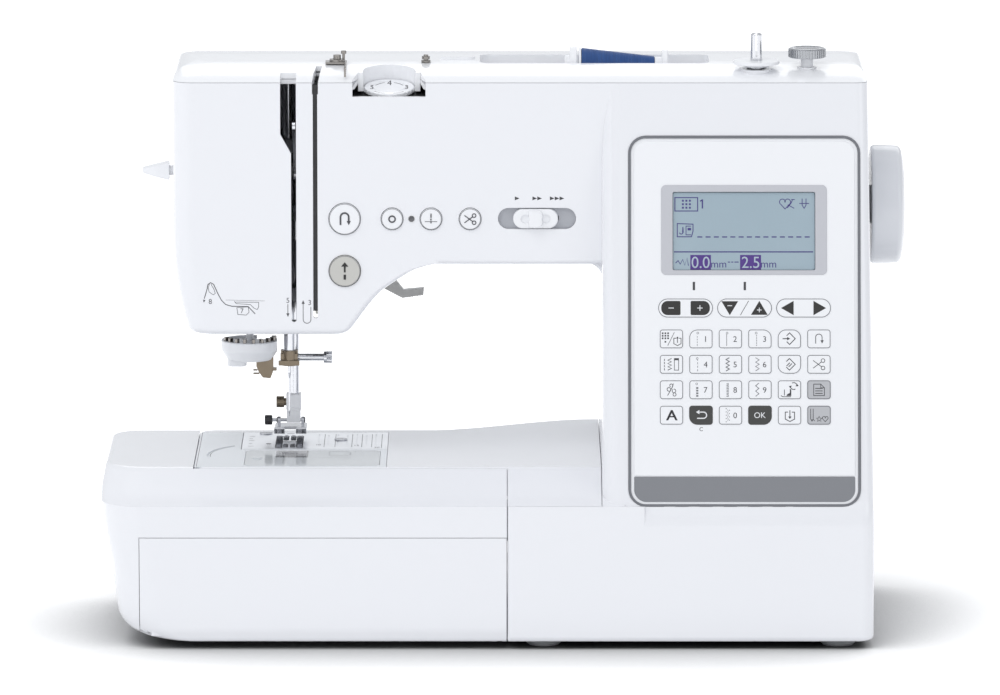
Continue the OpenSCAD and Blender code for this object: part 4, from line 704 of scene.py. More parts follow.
def headMouth():
    corners = [(x, y) for x in opening["mouthX"] for y in opening["mouthY"]]
    low = form.headUnder
    return hull(posts("z", corners, opening["mouthCorner"], low - 4, low + 10, 16))


# The measures of what stands in or on the covers come first, because the covers leave room for it.
# control panel; keyTop is the height of the pads, mid and screenV lie up the slope
panel = {
    "width": 119.2, "length": 191.0, "band": 14.6, "trim": 1.1, "mid": 94.0, "screenV": 140.4,
    "keyColumns": [-37.6 + 15.17 * c for c in range(6)], "keyRows": [84.8 - 13.1 * r for r in range(4)],
    "keyWide": 12.2, "keyHigh": 9.9, "keyRadius": 1.6, "bigRadius": 4.3,
    "pillColumns": [-30.3, 0.05, 30.4], "pillV": 100.7, "pillWide": 28.4, "pillHigh": 10.0,
    "line": 0.36, "lineInset": 0.34, "keyTop": 0.75,
}
# buttons by name: node, body, place across and up, radius, finish
buttons = {
    "reverseButton": ("reverse_button", "reverse", -82.8, 217.0, 8.1, "smallPlastic"),
    "startButton": ("start_button", "start", -82.8, 189.8, 8.1, "startPlastic"),
    "positionButton": ("position_button", "position", -58.3, 217.0, 5.6, "smallPlastic"),
    "needleButton": ("needle_button", "needle_key", -38.2, 217.0, 5.6, "smallPlastic"),
    "cutterButton": ("cutter_button", "cutter", -18.0, 217.0, 5.6, "smallPlastic"),
}
signal = {"x": -48.3, "z": 217, "radius": 1.5}  # the lamp between the buttons
# the speed slider's recess, the opening round it, the slot of its stem and the seat behind
slider = {"recess": (-3.4, 36.5, 211.9, 222.5), "opening": (-3.6, 36.7, 211.7, 222.7),
          "slot": (5.3, 27.8, -40, -34, 216, 218.4), "seat": (-6.2, 39.2, 208.9, 225.5),
          "x": 15.8, "z": 217.2, "long": 23.2, "high": 10, "grip": (12, 19.6, 212.6, 221.8),
          "scoops": (10.4, 21.2), "stem": (12.8, 18.8, -38.6, -34.2, 216.3, 218.1),
          "plate": (8.8, 22.8, -35.7, -34.3, 213.2, 221.2)}
dial = {"x": -59.8, "y": -24.5, "z": 283.9, "tilt": 10, "radius": 12.9, "pocketHalf": 18.9,
        "pocket": (280.6, 310.6), "ridges": 24}
spool = {"x": 39.6, "y": 8.0, "z": 289.9, "length": 38.4, "wide": 10.0, "narrow": 5.6, "turns": 62,
         "thread": 0.33}
# bobbin winder and its stop, hand wheel (inner and outer face), carry handle (from x0 to x1)
winder = {"x": 129.9, "y": -22.0, "top": 311.4, "radius": 2.95, "hole": 5}
stop = {"x": 156.3, "y": -18.0, "rise": 10.6, "radius": 9.4, "hole": 3.6, "teeth": 40}
wheel = {"y": 18, "z": 216.2, "inner": 190.8, "outer": 208.5, "radius": 31.0, "hole": 12}
handle = {"x0": -44.0, "x1": 96.0, "y": 79.0, "high": 276.0, "low": 214.0, "pin": 2.8, "arm": 8,
          "corner": 6, "eye": 5.4}


def onPanel(v=0.0):
    # the leaning panel's own frame: x across, y up the slope, z outwards
    return spot(form.panelX, frontSide(form.leanH), form.leanH) @ turn(90 - lean, "X") @ spot(0, v - 2, -0.3)


def dialPocket():
    low, top = dial["pocket"]
    corners = box(dial["x"] - dial["pocketHalf"], dial["x"] + dial["pocketHalf"],
                  -form.armFront - 6, -form.armFront + 2, low, top)
    return hull(corners + posts("z", [(dial["x"], dial["y"])], dial["radius"] + 1.8, low, top, 48))


def slab(low, high):
    # the room of the whole machine between two heights
    return block(-210, 210, -90, 90, low, high)


def region(y0, y1):
    # the room of pillar, arm and base between two depths
    return joined(block(50, 210, y0, y1, -10, 390), block(-180, 60, y0, y1, 130, 330),
                  block(form.baseLeft, form.baseLeft + 50, y0, y1, -10, form.shoulderH))


def wheelHole():
    return rod(178, wheel["y"], wheel["z"], wheel["hole"], 18, "x")


def armHole():
    return block(form.baseLeft - 5, form.baseLeft + 7.5, *opening["arm"])


def ventRow(first, pitch, wide, count, *sides):
    return [slotY(first + pitch * k, first + wide + pitch * k, *sides) for k in range(count)]


def buildCovers():
    shell = joined(housing(0), throatFillet())
    top = slab(form.creaseH - 0.06, form.creaseH + 40)
    shell = less(shell, housing(form.wall), domeForm(form.wall + 0.02), top)

    # front
    front = common(bpy.data.objects.new("shell", shell.data.copy()), region(-91, form.splitY))
    inside = form.wall - 0.1 - form.armFront
    front = joined(front, block(*slider["seat"][:2], inside, form.wall + 1.4 - form.armFront,
                                *slider["seat"][2:]))
    cuts = threadSlots() + [headMouth(), dialPocket()]
    for node, bodyName, x, z, r, finish in buttons.values():
        cuts.append(rod(x, -45, z, r + 0.3, 10 if r < 6 else 8, "y"))
    cuts.append(rod(signal["x"], -43, signal["z"], signal["radius"] + 0.1, 8, "y", 24))
    cuts.append(slotY(*slider["opening"], -43, inside, 40))
    cuts.append(block(*slider["slot"]))
    cuts.append(prism(roundBox(panel["width"] + 0.3, panel["length"] + 0.3, 9), -1.6, 4.4,
                      onPanel(panel["mid"])))
    cuts.append(prism(roundBox(*opening["screen"], 2), -8, 12, onPanel(panel["screenV"]) @ spot(-0.2)))
    cuts.append(hull(posts("x", opening["threader"], opening["threaderRadius"], -176, -164, 24)))
    front = less(front, *cuts, wheelHole(), armHole())
    finishPiece(front, "frontCover", "coverPlastic", "housing", ["front_cover"])
    # a black sheet behind the right thread slot: it hides the board inside and paints the shade in the slot
    shadeSheet = prism(roundBox(5, 118, 1, 4), 0, 0.3, facing(-98, -37.2, 227.5, "-y"))
    finishPiece(shadeSheet, "slotLining", "blackPlastic")

    # rear, with the lugs of the handle
    rear = common(shell, region(form.splitY + form.seam, 105))
    pivot = [(handle["y"], handle["high"])]
    lugs = [hull(box(x, x + 9, 66, 67, 267, 283) + posts("x", pivot, 6, x, x + 9, 36))
            for x in (handle["x0"] - 9.4, handle["x1"] + 0.4)]
    cuts = [headMouth(), wheelHole(), rod(-56, *pivot[0], handle["pin"] + 0.05, 164, "x"), armHole(),
            block(*opening["sockets"])]
    for row in opening["vents"]:
        cuts += ventRow(*row)
    cuts.append(hull(posts("y", opening["lever"], opening["leverRadius"], 48.2, 54.8, 16)))
    finishPiece(less(joined(rear, *lugs), *cuts), "rearCover", "coverPlastic", "housing", ["rear_cover"])


# top cover: the well under the spool and the holders of its pin (x from and to, foot, rise)
topParts = {"well": (-13, 106, -8, 24), "wellGap": 2.6, "wellCorner": 5, "tongue": 0.3, "tongueWall": 1.8,
            "tub": (-20, 110, -12, 28, 270, 284), "holders": ((-29, -20, 0, 1.2), (95, 101, -6, 0.4)),
            "holderRadius": 4.4, "pinStart": -30, "pinRadius": 1.5, "pinLength": 160}


def spoolWell(i):
    x0, x1, y0, y1 = topParts["well"]
    z = spool["z"] - spool["wide"] - topParts["wellGap"] + i
    corners = shrink([topParts["wellCorner"]] * 4, i)
    return prism(outline(x0 + i, x1 - i, y0 + i, y1 - i, corners), z, z + 30)


def buildTop():
    outer = common(less(domeForm(0), domeForm(form.wall)), slab(form.creaseH + 0.06, form.creaseH + 60))
    play = form.wall + topParts["tongue"]
    tongue = less(domeForm(play), domeForm(play + topParts["tongueWall"]))
    tongue = common(tongue, slab(form.creaseH - 4, form.creaseH + 2))
    tub = joined(domeForm(0.2), block(*topParts["tub"]))
    tub = less(common(tub, spoolWell(-2)), spoolWell(0))
    stands = [(winder, 8), (stop, 5)]
    bosses = [rod(each["x"], each["y"], form.creaseH - 6, r, topH(each["y"]) - form.creaseH + 6.3)
              for each, r in stands]
    # the spool pin's two holders
    for x0, x1, foot, rise in topParts["holders"]:
        bosses.append(hull(posts("z", [(x0, spool["y"]), (x1, spool["y"])], topParts["holderRadius"],
                                 form.creaseH + foot, form.creaseH + form.crown + rise, 28)))
    cuts = [spoolWell(0.001), dialPocket()] + threadSlots()
    cuts += [rod(each["x"], each["y"], 277.8, each["hole"], 40) for each, r in stands]
    cuts.append(rod(topParts["pinStart"], spool["y"], spool["z"], topParts["pinRadius"],
                    topParts["pinLength"], "x", 24))
    cover = less(joined(outer, tongue, tub, *bosses), *cuts)
    finishPiece(cover, "topCover", "topPlastic", "housing", ["top_cover"])


# bed cover: the seat of the plates, the room over it, the well of the hook and the feed lever's slot
bed = {"seat": (-159.5, -58.4, -57.2, 49.6, 84.5, 88), "room": (-159.7, -61.2, -57.4, 46.8, 87.5, 97.5),
       "wellX": (-153.5, -67.4), "wellY": (-51.2, 40.6), "wellCorner": 3, "wellHeights": (79.5, 99.5),
       "lever": (-50, -24, 50, 56, 49, 60)}


def buildBed():
    forms = (freeForm, shoulderForm, flareForm)
    cover = less(joined(*(each(0) for each in forms)), joined(*(each(form.wall) for each in forms)))
    room = joined(block(-162, form.baseLeft - 0.2, -90, 90, 0, 200),
                  block(-1, form.pillarLeft - form.seam, -91, 91, form.shoulderH + 0.005, 135))
    cover = joined(common(cover, room), block(*bed["seat"]))
    well = [(x, y) for x in bed["wellX"] for y in bed["wellY"]]
    well = hull(posts("z", well, bed["wellCorner"], *bed["wellHeights"]))
    cover = less(cover, block(*bed["room"]), well, slotY(*bed["lever"]))
    finishPiece(cover, "bedCover", "coverPlastic", "housing", ["bed_cover"])


# extension table and its lid; side and toe give (height, place), hinge is (y, z)
table = {
    "wall": 2.4, "gap": 0.12, "foot": 4, "lidTop": 58.5, "hinge": (-85.4, 9.0), "pin": 1,
    "side": [(4, -181), (6, -188), (10, -195), (17, -199.5), (42, -203), (57, -206), (75, 0.3 - 208.5),
             (80, -208.5), (85, 0.8 - 208.5), (89, 1.6 - 208.5), (90, 2.9 - 208.5)],
    "toe": [(4, 3), (4.6, 1.8), (5.4, 1.2), (6, 1), (10, 0)],
    "heights": [4, 4.6, 5.4, 6, 7, 8.5, 10, 12, 14.5, 17, 20, 25, 32, 42, 50, 57, 66, 75, 75.6, 76.4, 77.3,
                78.5, 80, 82, 84, 86, 87, 88, 88.8, 89.4, 90],
    "topEdge": {88.8: 0.1, 89.4: 0.5, 90: 1.5},
    "vents": (-120, 12, 6, 8, 20, 40, -64.6, -55.6), "rib": (-186, -2, -88.5, -79, 59.1, 61.1),
    "partition": (-190.8, -188.8, -89, -58, 5, 75), "lug": (-3.4, -1.7, -80.4, -79.0, 7.6, 14.6),
    "lugRadius": 1.9, "lugStay": (-3.4, -1.0, -80.8, -78.3, 11.2, 14.6),
    "lugRoom": (-3.9, -1.4, -87.5, -75.5, 0, 13), "pinRoom": (-188, 5, -91, -79.4, -1, 11),
    "lidLeft": -188, "lidRibs": (-170, -145, -120, -95, -70, -45, -20),
    "lidRib": ((-87.8, 14), (-84.8, 14), (-87.8, 53), (-85.8, 53), (-84.8, 15)), "lidRibWide": 1.4,
    "knuckles": (-182, -12), "knuckleWide": 8, "knuckle": (-87.8, -87.4, 7, 12), "knuckleRadius": 2.4,
    "pins": ((-184.2, 10.2), (-12, 10.3)),
}


def tableForm(i):
    rise = form.bedH - form.shoulderH
    foot = table["foot"]

    def front(z):
        if z > form.shoulderH:
            return -form.half + form.shoulderDepth * smooth((z - form.shoulderH) / rise, slope)
        return -form.half + smooth(z, table["toe"])
    rings = []
    for z in table["heights"]:
        e = table["topEdge"].get(z, 0.0)
        push = i * (1.3 if z > form.shoulderH else 1)
        height = z + (i if z == foot else -i if z == form.bedH else 0)
        rings.append((height, outline(smooth(z, table["side"]) + i, form.baseLeft - form.seam - i,
                      front(z) + push, form.freeRear - i - e, shrink([22, 0.6, 0.6, 14], i), 14)))
    if i:
        rings = [ring for ring in rings if foot + i - 0.01 <= ring[0] <= form.bedH - i + 0.01]
    return loft(rings)


def armPocket(grow):
    # the room of the free arm, open to the right, the rear and the top
    x = -form.armEnd - table["gap"] - grow
    y = -form.freeFront - table["gap"] - grow
    return block(x, x + form.armEnd + 40, y, y + form.freeFront + 200, -10, form.bedH + 30)


def buildTable():
    wall, lid, hinge = table["wall"], table["lidTop"], table["hinge"]
    body = less(tableForm(0), armPocket(0), less(tableForm(wall), armPocket(wall)))
    body = joined(body, *(common(tableForm(1), block(*table[key])) for key in ("rib", "partition")))
    lug = hull(box(*table["lug"]) + posts("x", [hinge], table["lugRadius"], *table["lug"][:2], 24))
    lug = joined(lug, block(*table["lugStay"]))
    cuts = [block(table["lidLeft"] - form.seam, 40, -95, -81.15, -10, lid + form.seam),
            block(*table["pinRoom"])] + ventRow(*table["vents"])
    body = less(joined(less(body, *cuts), lug), rod(-6, *hinge, table["pin"] + 0.1, 4.5, "x"))
    finishPiece(body, "bedTable", "coverPlastic", "table", ["bed_table"])

    shape = less(tableForm(0), tableForm(wall))
    shape = common(shape, block(table["lidLeft"], form.baseLeft - form.seam - 0.2, -95, -83.6, -10, lid))
    ribs = [hull([(x + dx, y, z) for dx in (0, table["lidRibWide"]) for y, z in table["lidRib"]])
            for x in table["lidRibs"]]
    knuckles = []
    for x in table["knuckles"]:
        x1 = x + table["knuckleWide"]
        corners = box(x, x1, *table["knuckle"])
        knuckles.append(hull(corners + posts("x", [hinge], table["knuckleRadius"], x, x1, 24)))
    shape = less(joined(shape, *ribs, *knuckles), block(*table["lugRoom"]))
    finishPiece(shape, "accessoryLid", "coverPlastic", "lid", ["accessory_lid"])
    pins = [rod(x, *hinge, table["pin"], length, "x", 32) for x, length in table["pins"]]
    finishPiece(merge(pins), "lidPins", "steel", "lid", ["lid_pins"])


def strip(points, width, closed=False):
    # a flat band that follows a line of points
    count = len(points)
    sides = []
    for i, (x, y) in enumerate(points):
        normals = []
        for a, b in ((i - 1, i), (i, i + 1)):
            if closed or (a >= 0 and b < count):
                (ax, ay), (bx, by) = points[a % count], points[b % count]
                length = max(math.hypot(bx - ax, by - ay), 1e-6)
                normals.append(((ay - by) / length, (bx - ax) / length))
        if len(normals) == 1:
            normals *= 2
        nx = normals[0][0] + normals[1][0]
        ny = normals[0][1] + normals[1][1]
        reach = width / max(nx * nx + ny * ny, 1.2)
        sides.append(((x + nx * reach, y + ny * reach), (x - nx * reach, y - ny * reach)))
    quads = []
    for i in range(count if closed else count - 1):
        a, b = sides[i], sides[(i + 1) % count]
        quads.append([a[1], b[1], b[0], a[0]])
    return quads


def ring(cx, cy, r, width, n=24):
    return strip(circle(r, n, cx, cy), width, True)


def word(text, x, y, height, wide=1.0):
    # the faces of a short text, centred on a point
    curve = bpy.data.curves.new("word", "FONT")
    curve.body = text
    holder = bpy.data.objects.new("word", curve)
    mesh = bpy.data.meshes.new_from_object(holder)
    xs = [v.co.x for v in mesh.vertices]
    ys = [v.co.y for v in mesh.vertices]
    scale = height / (max(ys) - min(ys))
    midX = (max(xs) + min(xs)) / 2
    midY = (max(ys) + min(ys)) / 2
    spots = [(x + (px - midX) * scale * wide, y + (py - midY) * scale) for px, py in zip(xs, ys)]
    faces = [[spots[i] for i in face.vertices] for face in mesh.polygons]
    bpy.data.objects.remove(holder)
    return faces


def oblong(x0, x1, y0, y1):
    return [[(x0, y0), (x1, y0), (x1, y1), (x0, y1)]]


def square(x, y, half):
    return oblong(x - half, x + half, y - half, y + half)


def moved(shapes, x, y, scale=1.0):
    return [[(x + px * scale, y + py * scale) for px, py in shape] for shape in shapes]


def printOn(name, shapes, place, lift, finish, bodyName="housing"):
    # ink lying on a surface, as faces just above it
    bm = bmesh.new()
    for shape in shapes:
        bm.faces.new([bm.verts.new(place @ Vector((x * mm, y * mm, lift * mm)))
                      for x, y in anticlockwise(shape)])
    finishPiece(fromBmesh(name, bm), name, finish, bodyName, flat=True)


# corners with the large radius: front left, front right, rear right, rear left
bigCorners = {(0, 1): (0, 0, 0, 1), (0, 3): (0, 0, 1, 0), (0, 4): (0, 0, 1, 1), (1, 4): (1, 1, 0, 0),
              (3, 1): (1, 0, 0, 0), (3, 3): (0, 1, 0, 0)}
darkKeys = {(3, 1), (3, 3)}
greyKeys = {(2, 5), (3, 5)}


def keyOutline(row, column, inset=0, n=8):
    x = panel["keyColumns"][column]
    y = panel["keyRows"][row]
    w = panel["keyWide"] / 2 - inset
    h = panel["keyHigh"] / 2 - inset
    large = bigCorners.get((row, column), (0,) * 4)
    radii = [panel["bigRadius"] if big else panel["keyRadius"] for big in large]
    return outline(x - w, x + w, y - h, y + h, shrink(radii, inset), n)


def strokes(width, *lines):
    return [shape for line in lines for shape in strip(line, width)]


def zigzag(x, low, high, width, turns):
    return [(x + (width if k % 2 else -width), low + (high - low) * k / turns) for k in range(turns + 1)]


def dashes(x, low, high, dash, space, width):
    shapes = []
    y = low
    while y < high - dash / 2:
        shapes += oblong(x - width / 2, x + width / 2, y, min(y + dash, high))
        y += dash + space
    return shapes


def heart(x, y, r, width):
    points = [(x, y - 1.1 * r)] + arc(x + r / 2, y + r / 4, r * 0.56, -30, 180, 8)
    points += arc(x - r / 2, y + r / 4, r * 0.56, 0, 210, 8)
    return strip(points, width, True)


def star(x, y, r, width):
    reach = [r, r * 0.42] * 5
    return strip([(x + reach[k] * math.sin(math.pi * k / 5), y + reach[k] * math.cos(math.pi * k / 5))
                  for k in range(10)], width, True)


def scissorsIcon(s=1, width=0.34):
    shapes = strokes(width, [(-3, 2), (1.3, -1.2)], [(-3, -2), (1.3, 1.2)])
    shapes += ring(2.1, -1.9, 0.95, width) + ring(2.1, 1.9, 0.95, width)
    return moved(shapes, 0, 0, s)


def turnIcon(s, width=0.42):
    # a stitch that turns back
    shapes = strip([(-1.8, -2.6), (-1.8, 0.6)] + arc(0, 0.9, 1.8, 176, 8, 12) + [(1.8, -0.8)], width)
    shapes += [[(0.9, -0.8), (2.7, -0.8), (1.8, -2.6)]]
    return moved(shapes, 0, 0, s)


def pocketIcon(x, y, s, width, tip):
    # a pocket with an arrow into it or out of it
    pocket = [(-1, 2.2), (-2.5, 2.2), (-2.5, -1.6), (0, -2.9), (2.5, -1.6), (2.5, 2.2), (1, 2.2)]
    base = tip - math.copysign(1.3, tip)
    shapes = strokes(width / s, pocket, [(0, -1), (0, 3.2)]) + [[(-0.9, base), (0.9, base), (0, tip)]]
    return moved(shapes, x, y, s)


def keyIcons():
    # dark and light marks of every key, round the key's middle
    dots = []
    for x in (-4.5, -3.1, -1.7):
        for y in (2.9, 1.6, 0.3):
            dots += square(x, y, 0.42)
    dots += oblong(-3.52, -2.68, -1.9, -1.1)
    icons = {
        (0, 0): dots + strip([(-1.9, -3.5), (1.5, 3.4)], 0.25) + pocketIcon(3.1, -1.3, 0.74, 0.36, 3.4),
        (0, 4): strip([(-1.4, 1.6), (0.1, 3.1), (3, 0.1), (0.1, -2.9), (-1.4, -1.4)], 0.42)
        + strip([(-3.5, 0.1), (-0.9, 0.1)], 0.5) + [[(-1.1, 1), (-1.1, -0.8), (0.4, 0.1)]],
        (0, 5): turnIcon(0.92),
        (1, 0): dashes(-3.6, -3.1, 3.1, 1.1, 0.5, 0.34) + strip(zigzag(-0.9, -3, 3, 0.95, 7), 0.42)
        + strip([(1.5, -3), (3.7, -3), (3.7, 3), (1.5, 3)], 0.3, True) + oblong(1.5, 3.7, 2.1, 3),
        (1, 4): strip([(-1.6, 1.4), (0, 3), (3, 0), (0, -3), (-1.6, -1.4)], 0.42)
        + strokes(0.42, [(-1.5, -0.9), (0.2, 0.8)], [(-0.4, -1.3), (1.3, 0.4)]),
        (1, 5): scissorsIcon(),
        (2, 0): strip([(-2, -3), (-0.6, -0.6), (0.6, 1.6), (1, 3.2)], 0.34)
        + strokes(0.32, arc(-1.3, 0.2, 0.95, -40, 300), arc(1.3, -0.6, 0.95, 120, 460),
                  arc(1.6, -2.5, 0.8, 120, 440, 10), arc(-0.1, 2.2, 0.8, -60, 250, 10)),
        (2, 4): strokes(0.4, arc(2.2, 1.9, 1.75, 120, 20, 8), arc(2.2, 1.9, 1.75, 300, 200, 8))
        + [[(3.1, 1.7), (4.7, 1.9), (4, 3)], [(1.3, 2.1), (-0.3, 1.9), (0.4, 0.8)]]
        + strokes(0.36, [(-4.4, -3), (-3.4, -3.6), (0.8, -3.6)], [(-2.6, -2.9), (-2.6, 0.1)])
        + [[(-1.6, -3.2), (0.9, -3.2), (0.9, 0.3), (0.2, 0.3), (0.2, -1.6), (-1.2, -2.4)]],
        (2, 5): strip([(-2.7, -3), (-2.7, 2.9), (0.9, 2.9), (2.8, 1), (2.8, -3)], 0.34, True)
        + strip([(0.9, 2.9), (0.9, 1), (2.8, 1)], 0.3)
        + strokes(0.4, *([(-1.9, y), (1.9, y)] for y in (0.7, -0.6, -1.9))),
        # drawn twice, a little apart, to look bold
        (3, 0): word("A", 0, 0, 5.3, 1.1) + word("A", 0.35, 0, 5.3, 1.1),
        (3, 4): pocketIcon(0.2, -0.5, 0.95, 0.42, -1.5),
        (3, 5): strokes(0.32, [(-4.3, 3.3), (-4.3, -2.2)], [(-3, 3.3), (-3, -2.2), (-2.2, -3)])
        + [[(-4.3, -2.2), (-3, -2.2), (-3.6, -3.4)]]
        + star(0.1, -2, 1.55, 0.3) + heart(3.2, -1.8, 1.4, 0.3),
    }
    stitches = {
        (0, 1): dashes(-1.9, -3.6, 2.4, 0.9, 0.5, 0.28) + ring(-1.6, 3, 0.5, 0.22, 10),
        (0, 2): dashes(-1.9, -3.6, 2.4, 9, 0.1, 0.28) + ring(-1.7, 3, 0.5, 0.22, 10),
        (0, 3): dashes(-1.7, -3.6, 2.4, 0.5, 0.35, 0.4) + ring(-1.9, 3, 0.5, 0.22, 10),
        (1, 1): dashes(-1.7, -3.6, 2.4, 1.1, 0.7, 0.28) + ring(-1.9, 3, 0.5, 0.22, 10),
        (1, 2): strip(zigzag(-1.4, -3.4, 3.4, 0.85, 7), 0.55),
        (1, 3): strip(zigzag(-1.3, -3.4, 3.4, 0.95, 6), 0.34),
        (2, 1): dashes(-1.9, -3.6, 2.2, 0.9, 0.45, 1.1) + ring(-2.2, 3, 0.5, 0.22, 10),
        (2, 2): dashes(-1.6, -3.6, 3.5, 0.4, 0.4, 0.9) + dashes(-1.1, -3.6, 3.5, 1, 0.2, 0.26),
        (2, 3): strip(zigzag(-1.4, -3.4, 3.4, 0.85, 5), 0.36),
        (3, 2): [square(x, y, 0.22)[0] for x, y in zigzag(-1.4, -3.4, 3.4, 0.8, 8)]
        + strip(zigzag(-1.4, -3, 3, 0.3, 6), 0.16),
    }
    pale = {
        (3, 1): strip([(-2, -1.6), (1.3, -1.6)] + arc(1.3, 0, 1.6, -80, 80, 8)
                      + [(1.1, 1.6), (-1, 1.6)], 0.55)
        + [[(-2.6, 1.6), (-0.8, 2.7), (-0.8, 0.5)]],
        (3, 3): word("OK", 0, 0, 2.9),
    }

    def placed(table):
        shapes = []
        for (row, column), marks in table.items():
            shapes += moved(marks, panel["keyColumns"][column], panel["keyRows"][row])
        return shapes
    for digit, key in zip("1234567890", stitches):
        icons[key] = word(digit, 2.4, -0.1, 2.9)
    return placed(icons), placed(stitches), placed(pale)


def pillIcons():
    v = panel["pillV"]
    first, second, third = panel["pillColumns"]
    dark = [outline(first - 12.5, first - 2.6, v - 3.65, v + 3.65, [3.3, 0.7, 0.7, 3.3], 8),
            outline(first + 2.6, first + 12.5, v - 3.65, v + 3.65, [0.7, 3.3, 3.3, 0.7], 8),
            [(second - 11.9, v + 3.5), (second - 7.6, v - 3.7), (second - 3.3, v + 3.5)],
            [(second + 3.3, v - 3.5), (second + 11.9, v - 3.5), (second + 7.6, v + 3.7)],
            [(third - 11.6, v), (third - 5.1, v - 3.7), (third - 5.1, v + 3.7)],
            [(third + 11.6, v), (third + 5.1, v + 3.7), (third + 5.1, v - 3.7)]]
    dark += strip([(second - 2.2, v - 3.7), (second + 2.1, v + 3.7)], 0.28)
    pale = []
    # minus and plus signs
    for x, y, s, plus in ((first - 7.4, v, 1.4, 0), (second - 7.6, v + 1.2, 1.2, 0),
                          (first + 7.4, v, 1.4, 1), (second + 7.6, v - 1, 1.2, 1)):
        pale += oblong(x - s, x + s, y - 0.2, y + 0.2)
        if plus:
            pale += oblong(x - 0.2, x + 0.2, y + 0.2, y + s) + oblong(x - 0.2, x + 0.2, y - s, y - 0.2)
    return dark, pale


def screenMarks():
    # what the display shows, round its middle
    dark = strip([(-35.5, 10.4), (-23.8, 10.4), (-23.8, 17.3), (-35.5, 17.3)], 0.5, True)
    for x in (-31.4, -29.6, -27.8):
        for y in (12.1, 13.9, 15.7):
            dark += square(x, y, 0.5)
    dark += oblong(-21.7, -21, 11.7, 16.4) + strip([(-22.6, 15.4), (-21.4, 16.1)], 0.6)
    dark += heart(21.2, 14.4, 2.7, 0.4)
    dark += strokes(0.4, [(24.4, 16.3), (26.2, 16.3)], [(22.6, 13.6), (25.9, 11.8)],
                    [(22.4, 12), (24.4, 14.6), (25, 16.2)],
                    [(30, 16.8), (30, 13.4), (31, 11.8), (32, 13.4), (32, 16.8)],
                    [(28.5, 14.3), (33.6, 14.3)])
    dark += strip([(-34.3, -2.9), (-27, -2.9), (-26.2, 0), (-26.2, 3.6), (-34.3, 3.9)], 0.45, True)
    dark += strip([(-31.4, 2.2), (-31.4, -0.6)] + arc(-32.3, -0.6, 0.9, 0, -170, 8), 0.45)
    dark += strip([(-27.2, 2.6), (-29.8, 2.6), (-29.8, -1.9), (-27.2, -1.9)], 0.4)
    dark += oblong(-29, -27.2, 0.4, 1.7)
    for k in range(14):
        x = -24 + 4.25 * k
        dark += oblong(x, x + 2.6, -3.3, -2.7)
    dark += oblong(-36, 35.6, -11, -10.4)
    dark += strip([(-35.2, -16.5), (-33.9, -15.2), (-32.8, -17), (-31.5, -14.6), (-30.5, -17.6),
                   (-29.2, -13.8), (-28.6, -17.8)], 0.42)
    for x0, x1 in ((-8.3, -7.1), (-6.5, -5.5), (-4.9, -2.7)):
        dark += oblong(x0, x1, -16.2, -15.7)
    dark += word("mm", -13, -17.5, 2.5) + word("mm", 12.7, -17.5, 2.5)
    fields = oblong(-27.6, -17, -19.9, -12.3) + oblong(-2, 8.8, -19.9, -12.3)
    pale = word("0.0", -22.3, -16.1, 5.9, 0.95) + word("2.5", 3.4, -16.1, 5.9, 0.95)
    return dark, fields, pale


